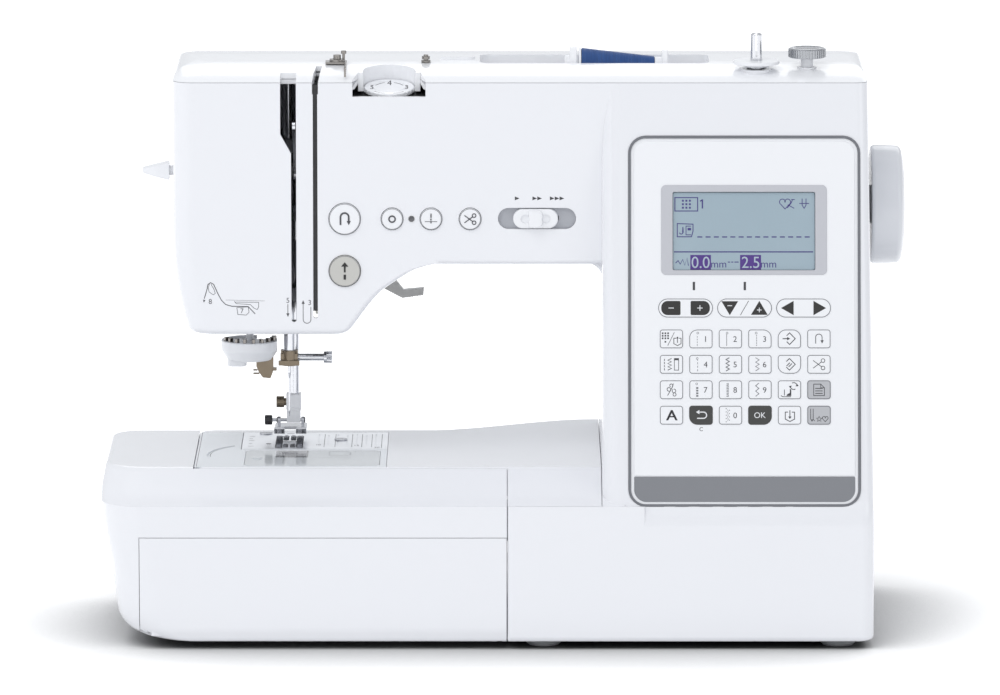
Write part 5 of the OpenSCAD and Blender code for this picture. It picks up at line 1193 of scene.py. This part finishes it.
def buildPanel():
    w = panel["width"]
    length = panel["length"]
    rim = 2 * panel["trim"]
    mid = onPanel(panel["mid"])
    screenV = panel["screenV"]
    trim = less(prism(roundBox(w, length, 8.8, 16), -1.5, 0.8),
                prism(roundBox(w - rim, length - rim, 7.7, 16), -3, 3))
    finishPiece(trim, "panelTrim", "trimPlastic", "housing", ["panel_trim"], mid)

    # face, band and bezel stand on the plate; each line of numbers is (height, inset)
    low = 1.2 - length / 2
    x1 = w / 2 - 2.8
    plate = prism(roundBox(w - 2.4, length - 2.4, 7.6, 16), -1.5, 0.1)
    face = eased(lambda e: outline(e - x1, x1 - e, low + panel["band"] + e, -low - 1.6 - e,
                                   [0.6, 0.6, 6.4, 6.4]), ((-0.5, 0), (0.35, 0), (0.46, 0.06), (0.5, 0.2)))
    window = prism(roundBox(73.4, 40.4, 0.8, 4, -0.2, screenV - panel["mid"]), -5, 6)
    finishPiece(less(joined(plate, face), window), "panelFace", "panelPlastic", "housing",
                ["control_panel"], mid)
    band = eased(lambda e: outline(e - x1, x1 - e, low + 1.2 + e, low + panel["band"] - 0.4 - e,
                                   [6.4, 6.4, 0.6, 0.6]), ((0.1, 0), (0.3, 0), (0.37, 0.06), (0.4, 0.18)))
    finishPiece(band, "panelBand", "bandPlastic", place=mid)
    bezel = eased(lambda e: roundBox(85.4 - 2 * e, 46.4 - 2 * e, 2.6 - e, 10, -0.2, screenV + 0.6),
                  ((0.3, 0), (0.7, 0), (0.84, 0.1), (0.9, 0.3)))
    bezel = less(bezel, prism(roundBox(73.4, 40.4, 0.8, 4, -0.2, screenV), -5, 6))
    finishPiece(bezel, "screenBezel", "bezelPlastic", place=onPanel())

    top = panel["keyTop"]
    softEdge = [(0.3, 0), (top - 0.22, 0), (top - 0.08, 0.07), (top, 0.24)]
    groups = {"keyPads": [], "greyKeys": [], "darkKeys": []}
    lines = []
    for row in range(4):
        for column in range(6):
            key = (row, column)
            kind = "darkKeys" if key in darkKeys else "greyKeys" if key in greyKeys else "keyPads"
            groups[kind].append(eased(lambda e: keyOutline(row, column, e), softEdge))
            if kind != "darkKeys":
                lines += strip(keyOutline(row, column, panel["lineInset"]), panel["line"], True)
    for x in panel["pillColumns"]:
        def pill(e):
            return roundBox(panel["pillWide"] - 2 * e, panel["pillHigh"] - 2 * e, 4.95 - e, 12, x,
                            panel["pillV"])
        groups["keyPads"].append(eased(pill, softEdge))
        lines += strip(pill(panel["lineInset"]), panel["line"], True)
    kinds = {"keyPads": "panelPlastic", "greyKeys": "greyKey", "darkKeys": "darkKey"}
    for kind, pads in groups.items():
        finishPiece(merge(pads), kind, kinds[kind], place=onPanel())
    icons, stitches, pale = keyIcons()
    pillDark, pillPale = pillIcons()
    ticks = oblong(-26.6, -25.4, 109.9, 114.2) + oblong(-0.4, 0.8, 109.9, 114.2)
    ticks += word("C", panel["keyColumns"][1] + 0.1, panel["keyRows"][3] - 7.2, 2)
    shown, fields, inverse = screenMarks()
    keys = onPanel()
    glass = onPanel(screenV) @ spot(-0.2)
    top += 0.04
    for name, shapes, place, lift, finish in (
            ("keyLines", lines, keys, top, "inkGrey"), ("keyMarks", icons, keys, top, "inkDark"),
            ("stitchMarks", stitches, keys, top, "inkGrey"),
            ("paleMarks", pale + pillPale, keys, top + 0.04, "inkPale"),
            ("pillMarks", pillDark, keys, top, "inkKey"), ("panelTicks", ticks, keys, 0.54, "inkDark"),
            ("screenMarks", shown, glass, -0.15, "inkScreen"),
            ("screenFields", fields, glass, -0.15, "inkField"),
            ("screenDigits", inverse, glass, -0.10, "inkScreenPale")):
        printOn(name, shapes, place, lift, finish)


class Shape(Tree):
    # a tree of geometry nodes with named sizes
    def __init__(self, name, sizes):
        self.tree = bpy.data.node_groups.new(name, "GeometryNodeTree")
        self.tree.interface.new_socket("Geometry", in_out="OUTPUT", socket_type="NodeSocketGeometry")
        self.sizes = {}
        for key, value in sizes.items():
            kind = "NodeSocketInt" if isinstance(value, int) else "NodeSocketFloat"
            if isinstance(value, bpy.types.Object):
                kind = "NodeSocketObject"
            socket = self.tree.interface.new_socket(key, in_out="INPUT", socket_type=kind)
            self.sizes[key] = (socket.identifier, value)
        self.source = self.tree.nodes.new("NodeGroupInput")
        self.sink = self.tree.nodes.new("NodeGroupOutput")

    def size(self, key):
        return Wire(self, self.source.outputs[key])

    def bake(self, name, geometry, finish):
        whole = self.add("GeometryNodeRealizeInstances", {}, {"Geometry": geometry})
        whole = self.add("GeometryNodeSetMaterial", {}, {"Geometry": whole, "Material": finishes[finish]})
        self.tree.links.new(whole.socket, self.sink.inputs[0])
        holder = bpy.data.objects.new(name, bpy.data.meshes.new(name))
        bpy.context.scene.collection.objects.link(holder)
        grow = holder.modifiers.new("grow", "NODES")
        grow.node_group = self.tree
        for identifier, value in self.sizes.values():
            grow[identifier] = value
        mesh = bakedMesh(holder)
        bpy.data.objects.remove(holder)
        return bpy.data.objects.new(name, mesh)


def repeatRing(name, piece, count, radius, finish, place):
    # copies of a piece round a circle, its X side outwards
    bpy.context.scene.collection.objects.link(piece)
    g = Shape(name, {"Piece": piece, "Count": count, "Radius": radius * mm})
    count = g.size("Count")
    points = g.add("GeometryNodeMeshCircle", {}, {"Vertices": count, "Radius": g.size("Radius")})
    turnBy = g.add("ShaderNodeCombineXYZ", {}, {"Z": g.add("GeometryNodeInputIndex") * (2 * math.pi / count)})
    shape = g.add("GeometryNodeObjectInfo", {}, {"Object": g.size("Piece")}, "Geometry")
    inputs = {"Points": points, "Instance": shape, "Rotation": turnBy}
    made = g.bake(name, g.add("GeometryNodeInstanceOnPoints", {}, inputs), finish)
    made.data.transform(place)
    bpy.data.objects.remove(piece)
    return made


def windThread(name, turns, length, startRadius, endRadius, threadRadius, finish, place):
    # a thread laid turn beside turn along a cone
    g = Shape(name, {"Turns": float(turns), "Length": length * mm, "Start radius": startRadius * mm,
                     "End radius": endRadius * mm, "Thread radius": threadRadius * mm, "Steps a turn": 40})
    path = g.add("GeometryNodeCurveSpiral", {}, {
        "Resolution": g.size("Steps a turn"), "Rotations": g.size("Turns"), "Height": g.size("Length"),
        "Start Radius": g.size("Start radius"), "End Radius": g.size("End radius")})
    section = g.add("GeometryNodeCurvePrimitiveCircle", {},
                    {"Resolution": 6, "Radius": g.size("Thread radius")})
    inputs = {"Curve": path, "Profile Curve": section, "Fill Caps": True}
    made = g.bake(name, g.add("GeometryNodeCurveToMesh", {}, inputs), finish)
    made.data.transform(place)
    return made


def onFront(x=0.0, z=0.0):
    # a frame on the front of the arm: x across, y up, z towards the user
    return spot(x, -form.armFront, z) @ turn(90, "X")


def buttonMarks(name):
    if name == "reverseButton":
        return turnIcon(1.18, 0.75)
    if name == "startButton":
        arrow = [[(-1.9, 2.4), (1.9, 2.4), (0, 4.7)]]
        return arrow + oblong(-0.45, 0.45, -0.6, 2.5) + oblong(-0.6, 0.6, -4.4, -1.8)
    if name == "positionButton":
        return ring(0, 0, 1.6, 0.75)
    if name == "needleButton":
        shapes = strip([(-3.2, -1.3), (3.2, -1.3)], 0.26)
        for half, low, high in ((0.3, 0.7, 2.9), (0.3, -0.6, 0.3), (0.2, -1.5, -0.8)):
            shapes += oblong(-half, half, low, high)
        return shapes + [[(-0.5, -1.7), (0.5, -1.7), (0, -2.4)]]
    return scissorsIcon(0.98, 0.5)


def buildButtons():
    front = -form.armFront
    # caps: a flange behind the cover, a rounded rim and a slightly hollow face
    for name, (node, bodyName, x, z, r, finish) in buttons.items():
        profile = [(0, -3.8), (r + 1.5, -3.8), (r + 1.5, -2.8), (r, -2.8), (r, 0.45), (r - 0.12, 0.75),
                   (r - 0.4, 0.93), (r - 0.8, 0.98), (r * 0.6, 0.9), (r * 0.3, 0.84), (0, 0.82)]
        finishPiece(turned(profile, facing(x, front, z, "-y"), 72), name, finish, bodyName, [node])
        printOn(name + "Ring", ring(0, 0, r - 0.28, 0.26, 64), onFront(x, z), 1.0, "inkRing", bodyName)
        dark = "inkBlack" if name == "startButton" else "inkMark"
        printOn(name + "Mark", buttonMarks(name), onFront(x, z), 1.03, dark, bodyName)
    # a mid-grey liner on the floor of the slider's recess: painted shade in the recess
    recess = less(slotY(*slider["recess"], -37.95, -37.7, 40), block(*slider["slot"]))
    finishPiece(recess, "sliderRecess", "recessPlastic")
    r = signal["radius"]
    lens = turned([(0, -1), (r, -1), (r, 0.35), (r - 0.15, 0.6), (r - 0.5, 0.78), (r - 1, 0.88), (0, 0.9)],
                  facing(signal["x"], front, signal["z"], "-y"), 40)
    finishPiece(lens, "signalLamp", "lampDark")
    arrows = [[(x - 1.2, 226.7), (x + 1.2, 227.7), (x - 1.2, 228.7)]
              for x in (6.3, 15.4, 17.9, 24.4, 26.9, 29.4)]
    printOn("speedMarks", arrows, onFront(), 0.04, "inkDark")

    # knob of the speed slider with its grip, two scoops, stem and plate
    x, z, long, high = (slider[key] for key in ("x", "z", "long", "high"))
    x0, x1, z0, z1 = slider["grip"]
    knob = eased(lambda e: roundBox(long - 2 * e, high - 2 * e, high / 2 - e, 14, x, z),
                 ((-2.1, 0), (1.0, 0), (1.35, 0.12), (1.55, 0.45), (1.6, 0.9)))
    grip = eased(lambda e: outline(x0 + e, x1 - e, z0 + e, z1 - e, [1.2, 2.6, 2.6, 1.2], 8),
                 ((1.0, 0), (3.2, 0.1), (3.75, 0.35), (4.0, 0.9)))
    knob = less(joined(knob, grip), *(rod(scoop, z, 0.9, 2.2, 5, n=40) for scoop in slider["scoops"]))
    knob.data.transform(onFront())
    parts = [knob, block(*slider["stem"]), block(*slider["plate"])]
    finishPiece(merge(parts), "speedSlider", "smallPlastic", "slider", ["speed_slider"])


def onDial():
    return spot(dial["x"], dial["y"], dial["z"]) @ turn(dial["tilt"], "X")


def dialSurround():
    # white wall of the pocket behind the dial
    x, half = dial["x"], dial["pocketHalf"] - 0.05
    low, top = dial["pocket"][0] + 0.05, 310
    points = posts("z", [(x, dial["y"])], dial["radius"] + 1.75, low, top, 48)
    body = common(hull(points + box(x - half, x + half, -39.9, -38, low, top)), domeForm(0.02))
    body = less(body, prism(circle(dial["radius"] + 0.75, 64), -6, 30, onDial()),
                block(x - 20, x + 20, -46, -28, 270, 320))
    finishPiece(body, "dialSurround", "topPlastic")


def dialSeat():
    # black plate under the dial: painted shade for the dark corners of its pocket
    plate = prism(outline(-18.8, 18.8, -12.9, 14.4, [1, 1, 9, 9], 10), -3.9, -3.1, onDial())
    finishPiece(less(plate, prism(circle(3.4, 32), -6, 0, onDial())), "dialSeat", "blackPlastic")


def buildDial():
    r = dial["radius"]
    knob = turned([(0, -6.4), (3, -6.4), (3, -2.4), (r - 0.3, -2.4), (r, -2.1), (r, -0.45),
                   (r - 0.15, -0.15), (r - 0.6, 0), (r - 3.9, 0), (r - 4.0, -0.3), (r - 4.3, -0.3),
                   (r - 4.4, 0), (0, 0)], onDial(), 96)
    ridge = block(-0.35, 0.6, -0.5, 0.5, -1.9, -0.35)
    knob = joined(knob, repeatRing("dialRidges", ridge, dial["ridges"], r - 0.15, "topPlastic", onDial()))
    knob = less(knob, prism(circle(1.7, 32), -7, -2, onDial()))
    finishPiece(knob, "tensionDial", "topPlastic", "dial", ["tension_dial"])
    dialSurround()
    dialSeat()
    marks = word("4", 0, 6.3, 8.2, 0.42) + word("5", -9.0, -1.0, 6.6, 0.45) + word("3", 9.0, -1.0, 6.6, 0.45)
    near = ((2.4, 6.6), (4.0, 5.7), (5.6, 4.2), (7.2, 1.9))
    far = ((2.0, -11.6), (4.2, -10.9), (6.0, -9.8), (7.6, -8.0))
    for side in (-1, 1):
        for line, width in ((near, 0.5), (far, 0.3)):
            marks += strip([(side * x, y) for x, y in line], width)
    printOn("dialMarks", marks, onDial(), 0.03, "inkDark", "dial")


def buildSpool():
    # thread on its white core
    place = facing(spool["x"], spool["y"], spool["z"], "x")
    r, thin, t, length = (spool[key] for key in ("wide", "narrow", "thread", "length"))
    bore = 1.4
    base = [(4.2, 0.1), (r - 2 * t, 0.1), (thin - 2 * t, length - 0.1), (4.2, length - 0.1)]
    coil = windThread("threadTurns", spool["turns"], length - 2 * t, r - t, thin - t, t, "thread",
                      place @ spot(0, 0, t))
    finishPiece(merge([turned(base, place, 72), coil]), "woundThread", "thread", "spool",
                ["thread_spool"], angle=60)
    top = length + 6.8
    core = [turned([(bore, -1.2), (r + 0.2, -1.2), (r + 0.4, -1.0), (r + 0.4, -0.2), (r + 0.2, 0),
                    (bore, 0)], place, 72),
            turned([(bore, -1.2), (4, -1.2), (4, top), (bore, top)], place, 48),
            turned([(bore, length), (5.2, length), (5.2, top - 3.2), (8.6, top - 3.2), (9, top - 2.8),
                    (9, top - 0.4), (8.6, top), (bore, top)], place, 72)]
    finishPiece(merge(core), "spoolCore", "smallPlastic", "spool")
    cap = [(1.15, -8.6), (5.6, -8.6), (6, -8.2), (6, -6), (10.4, -6), (10.8, -5.6), (10.8, -2.6),
           (10.4, -2.2), (1.15, -2.2)]
    finishPiece(turned(cap, place, 72), "spoolCap", "smallPlastic", "cap", ["spool_cap"])


def buildWinder():
    # shaft with its split end, and its seat
    x, y, r, top = winder["x"], winder["y"], winder["radius"], winder["top"]
    z = topH(y)
    shaft = turned([(0, z - 16), (r, z - 16), (r, top - 1), (r - 0.2, top - 0.5), (2.2, top), (0, top)],
                   spot(x, y), 48)
    shaft = less(shaft, block(x - 0.4, x + 0.4, y - 4, y + 4, top - 12, top + 2))
    finishPiece(shaft, "winderShaft", "chrome", "winder", ["winder_shaft"])
    seat = turned([(3, z + 1.3), (6, z + 1.3), (9, z + 2.9), (11.7, z + 2.9), (12, z + 3.2), (12, z + 4.4),
                   (11.7, z + 4.7), (3, z + 4.7)], spot(x, y), 72)
    finishPiece(seat, "winderSeat", "smallPlastic", "winder")

    # knurled stop with a screwdriver slot, on its stem
    x, y, r = stop["x"], stop["y"], stop["radius"]
    low = form.creaseH + stop["rise"]
    knob = turned([(0, low), (r - 0.2, low), (r, low + 0.3), (r, low + 4.4), (r - 0.6, low + 4.9),
                   (r - 1.6, low + 5), (r - 2.2, low + 4.6), (0, low + 4.6)], spot(x, y), 72)
    knob = less(knob, block(x - 6, x + 6, y - 0.6, y + 0.6, low + 4.1, low + 6))
    tooth = block(-0.4, 0.42, -0.42, 0.42, 0.3, 4.3)
    knob = joined(knob, repeatRing("stopKnurl", tooth, stop["teeth"], r - 0.05, "knurled", spot(x, y, low)))
    finishPiece(knob, "winderStop", "knurled", "stop", ["winder_stop"])
    z = topH(y)
    stem = turned([(0, z - 14), (3.2, z - 14), (3.2, low - 0.02), (0, low - 0.02)], spot(x, y), 48)
    finishPiece(stem, "winderStem", "smallPlastic", "stop")


def buildWheel():
    x0, x1, r = wheel["inner"], wheel["outer"], wheel["radius"]
    profile = [(4.5, x0 - 8), (10, x0 - 8), (10, x0), (r - 2, x0), (r - 0.9, x0 + 0.25), (r - 0.3, x0 + 0.9),
               (r, x0 + 2), (r - 0.1, x0 + 8), (r - 0.3, x1 - 4.6)]
    for k in range(1, 11):
        angle = math.radians(9 * k)
        profile.append((r - 4 + 3.7 * math.cos(angle), x1 - 4.6 + 3.2 * math.sin(angle)))
    profile += [(r - 5.5, x1 - 1.15), (r - 7, x1 - 0.6), (r - 12, x1 - 0.25), (12, x1), (4.5, x1)]
    body = turned(profile, facing(0, wheel["y"], wheel["z"], "x"), 160)
    finishPiece(body, "handWheel", "wheelPlastic", "upper_drive", ["handwheel"])


def arrowLine(x, low, high, width, head):
    # a line down from high to low with an arrow's head at its end
    return strip([(x, high), (x, low)], width) + [[(x - 0.8, head), (x, head - 1.9), (x + 0.8, head)]]


def buildMarks():
    # where the thread goes, by number
    marks = arrowLine(-112.3, 167.4, 172.4, 0.34, 167.6) + word("5", -112.3, 174.4, 2.6)
    loop = [(-104.4, 172.8), (-104.4, 164.6)] + arc(-102.4, 164.4, 2, 180, 360, 10) + [(-100.4, 171)]
    marks += strip(loop, 0.34) + [[(-105.2, 172.6), (-103.6, 172.6), (-104.4, 174.5)]]
    marks += word("3", -101, 173.3, 2.6)
    # the presser lever and the thread cutter beside it
    marks += strip([(-155.5, 175.3), (-154, 180.4), (-153.6, 182.7), (-152.2, 183.7), (-150.6, 182.7),
                    (-148.4, 177.8), (-146.6, 174.4), (-144.4, 172.2), (-141.2, 171.3), (-132.8, 171.1),
                    (-129.2, 167.3)], 0.42)
    marks += strip([(-144.4, 174.6), (-124.2, 174.1)], 0.14)
    marks += strokes(0.26, [(-140, 174), (-139, 172.7), (-131.7, 172.2), (-129.8, 170.3),
                            (-128.2, 169.6), (-127.4, 170.9), (-127.4, 173.4), (-139.4, 173.5)])
    marks += strip([(-138.7, 170.6), (-132.8, 171), (-132.4, 168.2), (-133.8, 166.7), (-138.2, 167)],
                   0.26, True)
    marks += strokes(0.26, [(-152.8, 183.3), (-153.4, 180.6), (-153, 178.8), (-150.8, 177.3),
                            (-149.8, 178.1), (-150.5, 180.2), (-152, 182.9)])
    marks += [[(-156.2, 174.8), (-154.9, 174.6), (-155.8, 173.2)]]
    marks += word("7", -136, 168.9, 2.5) + word("8", -152.4, 173.8, 2.6)
    printOn("threadMarks", marks, onFront(), 0.04, "inkMark")

    # seam guides and numbers on the plates
    plate = []
    for k, y in enumerate((34.5, 28, 21.9, 13, 4.7)):
        plate += oblong(-134.4, -131.6 if k % 2 == 0 else -132.6, y - 0.3, y + 0.3)
    for x, low in ((-94.7, 2), (-89, 2), (-80.2, 2), (-75, 2), (-69.8, 2), (-64.6, -1)):
        plate += oblong(x - 0.14, x + 0.14, low, 41)
    for text, x, y in (("10", -97.6, 9), ("15", -77.6, 7), ("20", -67, 1)):
        plate += word(text, x, y, 3.4, 0.6)
    plate += oblong(-115, -111, 43, 43.8) + strip(arc(-118, -22, 35.4, 131, 188, 16), 0.3)
    # a dark patch on the clear bobbin cover: painted shade of the hook's well seen through it
    window = [outline(-119.2, -102.4, -29, -9, [0.8, 0.8, 0.6, 0.6], 6)]
    tab = strip(outline(-91.5, -80.5, -24, -12, [1.5, 4, 4, 1.5], 8), 0.3, True)
    tab += strip([(-102, -30), (-80, -30)], 0.2)
    for name, shapes, finish, bodyName in (
            ("bobbinWindow", window, "smoke", "bobbin_lid"), ("coverMarks", tab, "inkRing", "bobbin_lid"),
            ("plateMarks", plate, "inkMark", "housing"),
            ("plateDots", [circle(1.5, 20, -123.9, 12.1)], "inkGrey", "housing")):
        printOn(name, shapes, spot(0, 0, form.bedH), 0.03, finish, bodyName)


# needle threader: place, low edge, stem and the ring of studs
threader = {"x": -133.4, "y": 9.0, "low": 132.0, "stemRadius": 2, "stemLength": 113, "studs": 9,
            "studStep": 20, "studReach": 12.7, "wireRadius": 0.45}


def buildThreader():
    x, y, low = threader["x"], threader["y"], threader["low"]
    cuts = [block(-119.2, -99, y - 20, y + 20, low - 2, low + 28),
            block(-130, -110, y + 6, y + 26, low - 2, low + 28)]
    bowl = turned([(0, low + 3.6), (11.2, low + 3.6), (11.8, low + 3.9), (14.6, low + 8.4), (15, low + 9.4),
                   (15, low + 13.6), (14.7, low + 14), (12.8, low + 14), (12.4, low + 13.2),
                   (0, low + 13.2)], spot(x, y), 96)
    arm = eased(lambda e: outline(-145 + e, -135 - e, y - 6 + e, y + 3 - e, [2, 2, 2, 2], 8),
                ((low + 0.4, 0.6), (low + 0.8, 0), (low + 4.6, 0)))
    stem = rod(x, y, low + 13, threader["stemRadius"], threader["stemLength"], "z", 40)
    body = joined(less(joined(bowl, arm), *cuts), stem)
    finishPiece(body, "threaderGuide", "smallPlastic", "threader", ["threader_guide"])
    studs = [prism(roundBox(2.6, 1.6, 0.4, 4), 0, 2.2, spot(x, y, low + 13.8)
                   @ turn(200 + threader["studStep"] * k, "Z") @ spot(threader["studReach"]))
             for k in range(threader["studs"])]
    finishPiece(merge(studs), "threaderStuds", "darkChrome", "threader")
    cheek = prism([(-130, 137), (-130, 132.4), (-128.8, 129.4), (-126.6, 126.4), (-122.6, 126), (-121.4, 129),
                   (-121, 131), (-121, 137)], 3.9, 5.0, facing(0, 0, 0, "-y") @ spot(0, 0, -10))
    hook = [cheek, block(-122, -119.4, y - 4, y + 1, low - 2, low - 0.8)]
    for z, length in ((130.4, 2.2), (128.6, 3.2)):
        hook.append(rod(-131.6, y - 3.6, z, threader["wireRadius"], length, "x", 16))
    finishPiece(merge(hook), "threaderHook", "bronze", "threader")


# presser foot: middle of the needle hole, half width, the pin across the ears and its height
foot = {"x": -112.4, "y": 18.0, "z": 96.0, "half": 8.4, "pinY": 6.6, "pinZ": 4.6, "pinRadius": 0.9,
        "toe": [(15, 0), (15, 1.6), (-8.8, 1.6), (-10.6, 2.2), (-14.2, 4.2), (-14.6, 3.3), (-11, 1.2),
                (-9.4, 0)], "needleHole": (-4.6, 3.4, -2.4, 2.4)}


def buildFoot():
    w, pinY, pinZ = foot["half"], foot["pinY"], foot["pinZ"]
    place = spot(foot["x"], foot["y"], foot["z"])
    # a side outline (y, z), pulled along x
    sideways = Matrix(((0, 0, 1, 0), (1, 0, 0, 0), (0, 1, 0, 0), (0, 0, 0, 1)))
    shape = [prism(foot["toe"], x0, x0 + wide, sideways) for x0, wide in ((-w, 5.4), (3, w - 3))]
    shape.append(block(-w, w, 3.4, 15, 0, 1.6))
    ear = [(pinY - 2, 1.2), (pinY + 2.6, 1.2), (pinY + 2.2, 4.8)] + arc(pinY, pinZ, 1.9, 6, 174)
    ear.append((pinY - 2, 4.8))
    shape += [prism(ear, x0, x0 + 1.6, sideways) for x0 in (-w + 1.4, w - 3)]
    shape.append(rod(-w - 1.4, pinY, pinZ, foot["pinRadius"], 2 * w - 0.6, "x", 32))
    body = less(joined(*shape), block(*foot["needleHole"], -2, 2.6))
    finishPiece(body, "presserFoot", "chrome", "foot", ["presser_foot"], place)
    # the dark button on the pin, and its two caps
    knob = [(0, 0), (2.2, 0), (2.6, 0.4), (2.6, 3.6), (2.2, 4), (0, 4)]
    cap = [(0, 0), (1.5, 0), (1.5, 0.5), (0, 0.5)]
    dark = [turned(profile, place @ facing(x, pinY, pinZ, "x"), n)
            for profile, x, n in ((knob, -w - 5.4, 48), (cap, -w + 0.9, 32), (cap, w - 1.4, 32))]
    finishPiece(merge(dark), "footButton", "blackPlastic", "foot")


def buildHandle():
    # a bar between two arms; each part draws in a little near its faces
    x0, x1, y, high, low = (handle[key] for key in ("x0", "x1", "y", "high", "low"))
    corner, eye, wide = handle["corner"], handle["eye"], handle["arm"]
    corners = [(x, z) for x in (x0 + corner, x1 - corner) for z in (low + corner, low + corner + 8)]
    points = []
    for inset, y0, y1 in ((0, y - 1.9, y + 2.3), (0.25, y - 2.4, y + 2.8), (0.7, y - 2.6, y + 3)):
        points += posts("y", corners, corner - inset, y0, y1, 40)
    pieces = [hull(points)]
    for x in (x0, x1 - wide):
        points = []
        for e, s in ((0, 0.7), (0.25, 0.2), (0.7, 0)):
            points += posts("x", [(y, high)], eye - e, x + s, x + wide - s, 40)
            for py in (y - 2.6 + e, y + 3 - e):
                points += [(x + s, py, low + 8), (x + wide - s, py, low + 8)]
        pieces.append(hull(points))
    pieces += [rod(x, y, high, handle["pin"], 8.6, "x") for x in (x0 - 7.6, x1 - 1)]
    finishPiece(joined(*pieces), "carryHandle", "handlePlastic", "handle", ["carry_handle"])


for stage, builds in (
        ("housing", (buildCovers, buildTop, buildBed, buildTable)),
        ("control panel", (buildPanel,)),
        ("buttons and dial", (buildButtons, buildDial)),
        ("needle parts", (buildThreader, buildFoot)),
        ("top and handle", (buildSpool, buildWinder, buildWheel, buildHandle)),
        ("marks", (buildMarks,))):
    for build in builds:
        build()
    print("stage:", stage, "built")


view = {"eye": (-0.00256, -4.6295, 0.9013), "aim": (-0.00256, -0.090, 0.15788), "lens": 323.4}


def setObject(name, data, place, aim):
    # a camera or a lamp, looking at a point
    thing = bpy.data.objects.new(name, data)
    thing.location = place
    thing.rotation_euler = (Vector(aim) - Vector(place)).to_track_quat("-Z", "Y").to_euler()
    bpy.context.scene.collection.objects.link(thing)
    return thing


camera = bpy.data.cameras.new("camera")
camera.lens = view["lens"]
camera.sensor_width = 36.0
camera.clip_end = 60.0
bpy.context.scene.camera = setObject("camera", camera, view["eye"], view["aim"])

# name: place, aim, width, height, power
lamps = {
    "keyLight": ((-0.9, -1.6, 2.7), (0, 0, 0.1), 1.6, 1.6, 22.0),
    "fillLight": ((2.2, -1.8, 1.3), (0, 0, 0.15), 1.4, 1.4, 6.0),
    "topLight": ((0.0, 0.9, 2.6), (0, 0, 0.1), 2.0, 1.0, 1.5),
    "leftLight": ((-2.4, -0.9, 1.6), (0, 0, 0.1), 1.4, 1.4, 9.0),
    "backLight": ((0.4, 2.6, 1.6), (0, 0, 0.2), 2.0, 1.2, 8.0),
}
for lampName, (place, aim, width, height, power) in lamps.items():
    lamp = bpy.data.lights.new(lampName, "AREA")
    lamp.shape = "RECTANGLE"
    lamp.size = width
    lamp.size_y = height
    lamp.energy = power
    setObject(lampName, lamp, place, aim)

# the glow that lights the scene, and the floor: its two whites, shadow tone and glow
studio = {"glow": (0.9, 0.92, 0.95, 1), "glowStrength": 0.76, "floorLow": 246, "floorHigh": 252,
          "shadow": 70, "shadowReach": 0.11, "floorGlow": 0.5}


def lightSky():
    world = bpy.data.worlds.new("studio")
    bpy.context.scene.world = world
    world.use_nodes = True
    tree = world.node_tree
    tree.nodes.clear()
    kinds = ("OutputWorld", "MixShader", "LightPath", "Background", "Background")
    out, pick, path, glow, seen = (tree.nodes.new("ShaderNode" + kind) for kind in kinds)
    glow.inputs["Color"].default_value = studio["glow"]
    glow.inputs["Strength"].default_value = studio["glowStrength"]
    seen.inputs["Color"].default_value = (1, 1, 1, 1)
    tree.links.new(path.outputs["Is Camera Ray"], pick.inputs[0])
    tree.links.new(glow.outputs[0], pick.inputs[1])
    tree.links.new(seen.outputs[0], pick.inputs[2])
    tree.links.new(pick.outputs[0], out.inputs["Surface"])


def layFloor():
    g = Graph("floorWhite")
    low, high, dark = (rgb(*[studio[key]] * 3) for key in ("floorLow", "floorHigh", "shadow"))
    matt = g.add("ShaderNodeBsdfDiffuse", {}, {"Color": g.blend(g.noise(2.0), low, high)})
    # Near the machine the floor's colour and its glow darken with ambient occlusion: a painted shadow, as the
    # camera and reflections see it.
    near = g.add("ShaderNodeAmbientOcclusion", {"samples": 16}, {"Distance": studio["shadowReach"]}, "AO")
    paintedShadowFloor = g.add("ShaderNodeBsdfDiffuse", {}, {"Color": g.blend(near, dark, high)})
    light = g.blend(near * near * near, rgb(0, 0, 0), rgb(255, 255, 255))
    glow = g.add("ShaderNodeEmission", {}, {"Color": light, "Strength": studio["floorGlow"]})
    lit = g.add("ShaderNodeAddShader", {}, {0: paintedShadowFloor, 1: glow})
    camera, glossy, clear = (g.add("ShaderNodeLightPath", output="Is " + ray + " Ray")
                             for ray in ("Camera", "Glossy", "Transmission"))
    g.finish(g.add("ShaderNodeMixShader", {}, {0: camera + glossy + clear, 1: matt, 2: lit}))
    mesh = bpy.data.meshes.new("floor")
    mesh.from_pydata([(-9, -7, 0), (9, -7, 0), (9, 16, 0), (-9, 16, 0)], [], [(0, 1, 2, 3)])
    mesh.materials.append(g.material)
    floor = bpy.data.objects.new("floor", mesh)
    bpy.context.scene.collection.objects.link(floor)


lightSky()
layFloor()
bpy.context.scene.view_settings.view_transform = "Standard"
print("stage: camera, light and floor")
